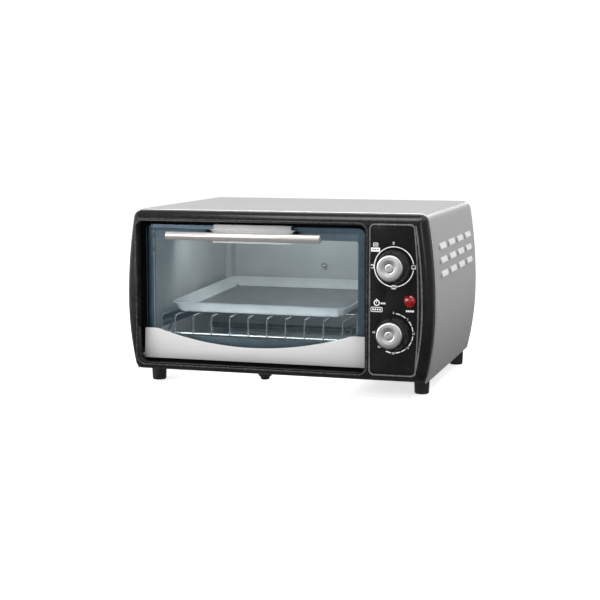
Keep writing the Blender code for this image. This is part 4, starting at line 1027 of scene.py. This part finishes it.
def make_door_screws():
    """Pan-head screws that hold the handle posts, seen from behind the glass."""
    for side in ("left", "right"):
        place = centre("handle_standoff_" + side)
        head = [(0, 0.0022), (0.0014, 0.0021), (0.0028, 0.0015), (0.0034, 0.0006), (0.0034, 0.0), (0, 0)]
        base = Vector((place.x, GLASS_HIGH.y + 0.0001, centre("handle_tube").z))
        mesh = combined(turned(filleted(head, 0.0002), base, (0, 1, 0), 40), *cross_slot(base, 1))
        add_piece("handle_screw_" + side, smooth(mesh), STEEL, "door")


def cross_slot(base, facing):
    """Two crossed bars that cut a screw head whose axis is Y; facing is 1 to the back, -1 to the front."""
    tools = []
    for width, height in ((0.003, 0.0006), (0.0006, 0.003)):
        near, far = sorted((base.y + facing * 0.0012, base.y + facing * 0.004))
        tools.append(upright_plate([bar(base.x, base.z, width, height)], near, far))
    return tools


# ---- cavity


def make_mouth():
    """Bright rolled bead down the left of the door's mouth, a painted highlight of the mouth's edge drawn
    only on its lit left side, with a swell and a spring clip near its top.
    """
    x0, z0, z1 = MOUTH[0], MOUTH[2], MOUTH[3]
    y = low("front_frame").y - 0.0008
    edge = x0 + 0.0003
    path = [(edge, y, z1 + 0.0075), (edge, y, z0 + 0.01)]
    for step in range(1, 9):
        turn = math.pi / 2 * step / 8
        path.append((edge + 0.01 * (1 - math.cos(turn)), y, z0 + 0.0103 - 0.01 * math.sin(turn)))
    path.append((edge + 0.019, y, z0 + 0.0003))
    add_piece("mouth_edge_highlight", wires([path], 0.0005, 4), MOUTH_EDGE_HIGHLIGHT, "root")
    swell = [(0, 0.005), (0.0008, 0.0044), (0.0012, 0.002), (0.0011, -0.001), (0.0006, -0.004),
             (0, -0.005)]
    mesh = turned(filleted(swell, 0.0004), (edge, y, z1 + 0.003), (0, 0, 1), 24)
    add_piece("bead_swell", mesh, CHROME, "root")
    clip = []
    for step in range(17):
        t = step / 16
        clip.append((x0 + 0.0012 + 0.0016 * math.sin(t * math.pi * 2), y - 0.0004,
                     z1 - 0.02 + 0.0075 * t))
    add_piece("mouth_clip", wires([clip], 0.0006, 4), CHROME, "root")


def make_back_screw():
    """Pan-head screw in the back wall that holds the thermal cutoff."""
    node = "thermal_cutoff_screw"
    place = centre(node)
    front = low(node).y
    base = Vector((place.x, front + 0.0019, place.z))
    head = [(0, 0.0021), (0.0014, 0.002), (0.0028, 0.0014), (0.0036, 0.0004), (0.0036, 0.0),
            (0.0017, 0.0), (0.0017, front + 0.0019 - high(node).y), (0, front + 0.0019 - high(node).y)]
    mesh = turned(filleted(head, 0.0002), base, (0, -1, 0), 40)
    mesh = combined(mesh, *cross_slot(base + Vector((0, 0.0002, 0)), -1))
    add_piece("back_screw", smooth(mesh), STEEL, "root", [node])
    washer = [(0.0036, 0.0), (0.0052, 0.0), (0.0052, 0.0005), (0.0036, 0.0005)]
    wall = low(node).y + 0.0026
    mesh = turned(filleted(washer, 0.0001, True), (place.x, wall, place.z), (0, -1, 0), 48, True)
    add_piece("back_screw_washer", mesh, STEEL, "root")


def make_heaters():
    """Sheathed elements with stepped terminal ends."""
    for node in sorted(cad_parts):
        if node.startswith("heater_"):
            place = centre(node)
            half = (high(node).x - low(node).x) / 2
            radius = (high(node).z - low(node).z) / 2
            profile = [(0, half), (0.0014, half), (0.0014, half - 0.004), (radius, half - 0.004),
                       (radius, 0.004 - half), (0.0014, 0.004 - half), (0.0014, -half), (0, -half)]
            mesh = turned(filleted(profile, 0.0003), place, (1, 0, 0), 40)
            add_piece(node.replace("heater", "element"), mesh, SHEATH, "root", [node])


# ---- rack, tray and crumb tray


def make_rack():
    """Chromed wires: twelve long ones turned down at the front, cross runs, a lip and a raised stop."""
    node = "wire_rack"
    radius = 0.0011
    top = 0.0802
    front = at_depth(0.02)
    rear = at_depth(0.25)
    middle = -0.03075
    outer, second, pitch = 0.11785, 0.10125, 0.0225
    bend = 0.0046
    lip = 0.0597
    places = [middle - outer] + [middle - second + i * pitch for i in range(10)] + [middle + outer]
    paths = []
    for x in places:
        path = [(x, rear, top), (x, front + bend, top)]
        for step in range(1, 9):
            turn = math.radians(90 * step / 8)
            path.append((x, front + bend - bend * math.sin(turn), top - bend + bend * math.cos(turn)))
        path.append((x, front, lip - 0.0006))
        paths.append(path)
    under = top - 1.95 * radius
    left, right = middle - outer - 0.0012, middle + outer + 0.0012
    for y in (0.1, 0.168, 0.236):
        paths.append([(left, at_depth(y), under), (right, at_depth(y), under)])
    paths.append([(left + 0.0006, front + 1.9 * radius, lip), (right - 0.0006, front + 1.9 * radius, lip)])
    high_stop = high(node).z - radius
    stop = [(left + 0.0013, top), (left + 0.0013, high_stop), (right - 0.0013, high_stop),
            (right - 0.0013, top)]
    paths.append(at_y(at_depth(0.248), filleted(stop, 0.003, False, 6)))
    add_piece("rack_wires", wires(paths, radius, 3), RACK_CHROME, "rack", [node])


def make_tray():
    """Pressed tray with a rolled rim, soft corners and a shallow panel in its floor."""
    node = "baking_tray"
    half_x = (high(node).x - low(node).x) / 2
    middle = centre(node)
    tilt = math.radians(1.77)
    half_y = 0.227 / 2
    height = 0.013
    rim = 0.0011
    levels = [(rim * 0.25, -0.0021), (0.0, -0.0013)]
    for step in range(9):
        angle = math.pi * (1 - step / 8)
        levels.append((rim + rim * math.cos(angle), -rim + rim * math.sin(angle)))
    levels += [(0.0028, -0.0017), (0.004, -0.0028), (0.0066, -0.009), (0.0078, -0.011),
               (0.0092, -height + 0.0011), (0.0112, -height + 0.0007), (0.02, -height + 0.0007),
               (0.0214, -height + 0.0011)]
    box = (-half_x, half_x, -half_y, half_y)
    rings = [[(x, y, z) for x, y in grown(box, -inset, max(0.013 - inset * 0.5, 0.004), 12)]
             for inset, z in levels]
    mesh = loft(rings, "last")
    bottom = min(mesh.polygons, key=lambda face: face.center.z)
    up = bottom.normal.z > 0
    mesh = applied(mesh, ("SOLIDIFY", {"thickness": 0.0006, "offset": -1.0 if up else 1.0}))
    front_rim = 0.0943
    place = Vector((middle.x, at_depth(0.147), front_rim + half_y * math.sin(tilt)))
    mesh.transform(Matrix.Translation(place) @ Matrix.Rotation(tilt, 4, "X"))
    tray = add_piece("tray_pan", smooth(mesh, 40), TRAY_METAL, "tray", [node])
    tray.data.materials.append(TRAY_FLOOR_SHADE)
    # Floor faces of the pan get the darker aluminium as painted shade.
    for face in tray.data.polygons:
        if abs(face.center.x - middle.x) < half_x - 0.0094 and abs(face.center.y - place.y) < half_y - 0.0094:
            face.material_index = 1


def make_crumb_knob():
    node = "crumb_tray_knob"
    place = centre(node)
    top, bottom = high(node).z, low(node).z
    profile = [(0, top), (0.0042, top), (0.0042, 0.015), (0.0074, 0.0144), (0.008, 0.0134),
               (0.0079, 0.0092), (0.0058, 0.0084), (0.0052, 0.0058), (0.0044, bottom), (0, bottom)]
    mesh = turned(filleted(profile, 0.0005), (place.x, place.y, 0), (0, 0, 1), 56)
    add_piece("crumb_tray_grip", mesh, RUBBER, "crumb_door", [node])


# ---- feet, back and base


def make_feet():
    """Tapered feet with a shoulder, a soft sole edge and a deep screw recess."""
    for node in sorted(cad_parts):
        if node.startswith("foot_"):
            place = centre(node)
            top = high(node).z
            radius = (high(node).x - low(node).x) / 2
            profile = [(0, top), (radius, top), (radius, top - 0.0022), (radius - 0.0003, top - 0.0027),
                       (radius - 0.001, 0.0024), (radius - 0.001, 0.0014), (radius - 0.0019, 0.0),
                       (0.0038, 0.0), (0.0036, 0.005), (0, 0.005)]
            mesh = turned(filleted(profile, 0.0006), (place.x, place.y, 0), (0, 0, 1), 56)
            add_piece(node.replace("foot", "leg"), mesh, RUBBER, "root", [node])


def make_rear_screws():
    """Pan-head screws round the rear cover."""
    face = at_depth(0.2601)
    places = [(side * 0.1655, z) for side in (-1, 1) for z in (0.045, 0.115, 0.18)]
    places += [(x, 0.1965) for x in (-0.09, 0.0, 0.09)]
    for number, (x, z) in enumerate(places):
        base = Vector((x, face, z))
        head = [(0, 0.0008), (0.0014, 0.0008), (0.0026, 0.0005), (0.003, 0.0), (0.003, -0.0004),
                (0, -0.0004)]
        mesh = turned(filleted(head, 0.0001), base, (0, 1, 0), 32)
        slots = [upright_plate([bar(x, z, w, h)], face + 0.0003, face + 0.003)
                 for w, h in ((0.0028, 0.0005), (0.0005, 0.0028))]
        add_piece("rear_screw_" + str(number + 1), smooth(combined(mesh, *slots)), STEEL, "root")


def make_gland():
    node = "cord_gland"
    place = centre(node)
    face = high("rear_cover").y
    front = low(node).y
    reach = high(node).y - front
    ring = [(0.0038, reach), (0.0064, reach), (0.007, reach - 0.0036), (0.0074, reach - 0.0048),
            (0.01, reach - 0.0048), (0.01, reach - 0.0057), (0.0072, reach - 0.0057), (0.0072, 0),
            (0.0038, 0)]
    mesh = turned(filleted(ring, 0.0004, True), (place.x, front, place.z), (0, 1, 0), 48, True)
    add_piece("lead_bush", mesh, KNOB_BLACK, "root", [node])


# ---- finish the CAD nodes

NODE_FINISHES = {
    "rear_cover": ZINC, "base_plate": ZINC, "front_frame": FRAME_STEEL,
    "cavity_left_wall": CAVITY, "cavity_right_wall": CAVITY, "cavity_ceiling": CAVITY,
    "cavity_back_wall": CAVITY, "crumb_tray": TRAY_METAL, "rack_rail_left": RAIL_SHADE_STEEL,
    "rack_rail_right": RAIL_SHADE_STEEL, "thermal_cutoff": PHENOLIC, "function_switch": PHENOLIC,
    "timer_unit": ZINC, "timer_bell": STEEL, "lamp_holder": CERAMIC, "function_shaft": STEEL,
    "timer_shaft": STEEL, "door_hinge_rail": FRAME_STEEL, "hinge_pin_left": STEEL,
    "hinge_pin_right": STEEL, "hinge_bracket_left": ZINC, "hinge_bracket_right": ZINC,
    "rack_hook_left": FRAME_STEEL, "rack_hook_right": FRAME_STEEL,
}


def finish_nodes():
    for name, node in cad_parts.items():
        finish = CERAMIC if name.startswith("ferrule_") else NODE_FINISHES.get(name, STEEL)
        node.data.materials.clear()
        node.data.materials.append(finish)


def make_floor():
    mesh = bpy.data.meshes.new("floor")
    bm = bmesh.new()
    bmesh.ops.create_grid(bm, x_segments=4, y_segments=4, size=20.0)
    bm.to_mesh(mesh)
    bm.free()
    floor = linked("floor", mesh)
    mat, shader = new_material("floor_paper", (0.9, 0.9, 0.9), 0.9)
    vary_colour(mat, shader, noise(mat, 3, 2.0), tone(0.895), tone(0.905))
    feed(mat, shader, {"Specular IOR Level": 0.0, "Emission Color": (1, 1, 1, 1), "Emission Strength": 0.62})
    mesh.materials.append(mat)
    floor.visible_glossy = False


make_camera()
make_world()
make_lights()
make_floor()
finish_nodes()
make_case()
make_bezel()
make_rims()
make_panel()
make_function_print()
make_timer_print()
make_lamp_print()
make_knob("function")
make_knob("timer")
make_lamp()
make_glass()
make_trim()
make_handle()
make_door_screws()
make_mouth()
make_back_screw()
make_heaters()
make_rack()
make_tray()
make_crumb_knob()
make_feet()
make_rear_screws()
make_gland()

SCENE.view_settings.view_transform = "Standard"
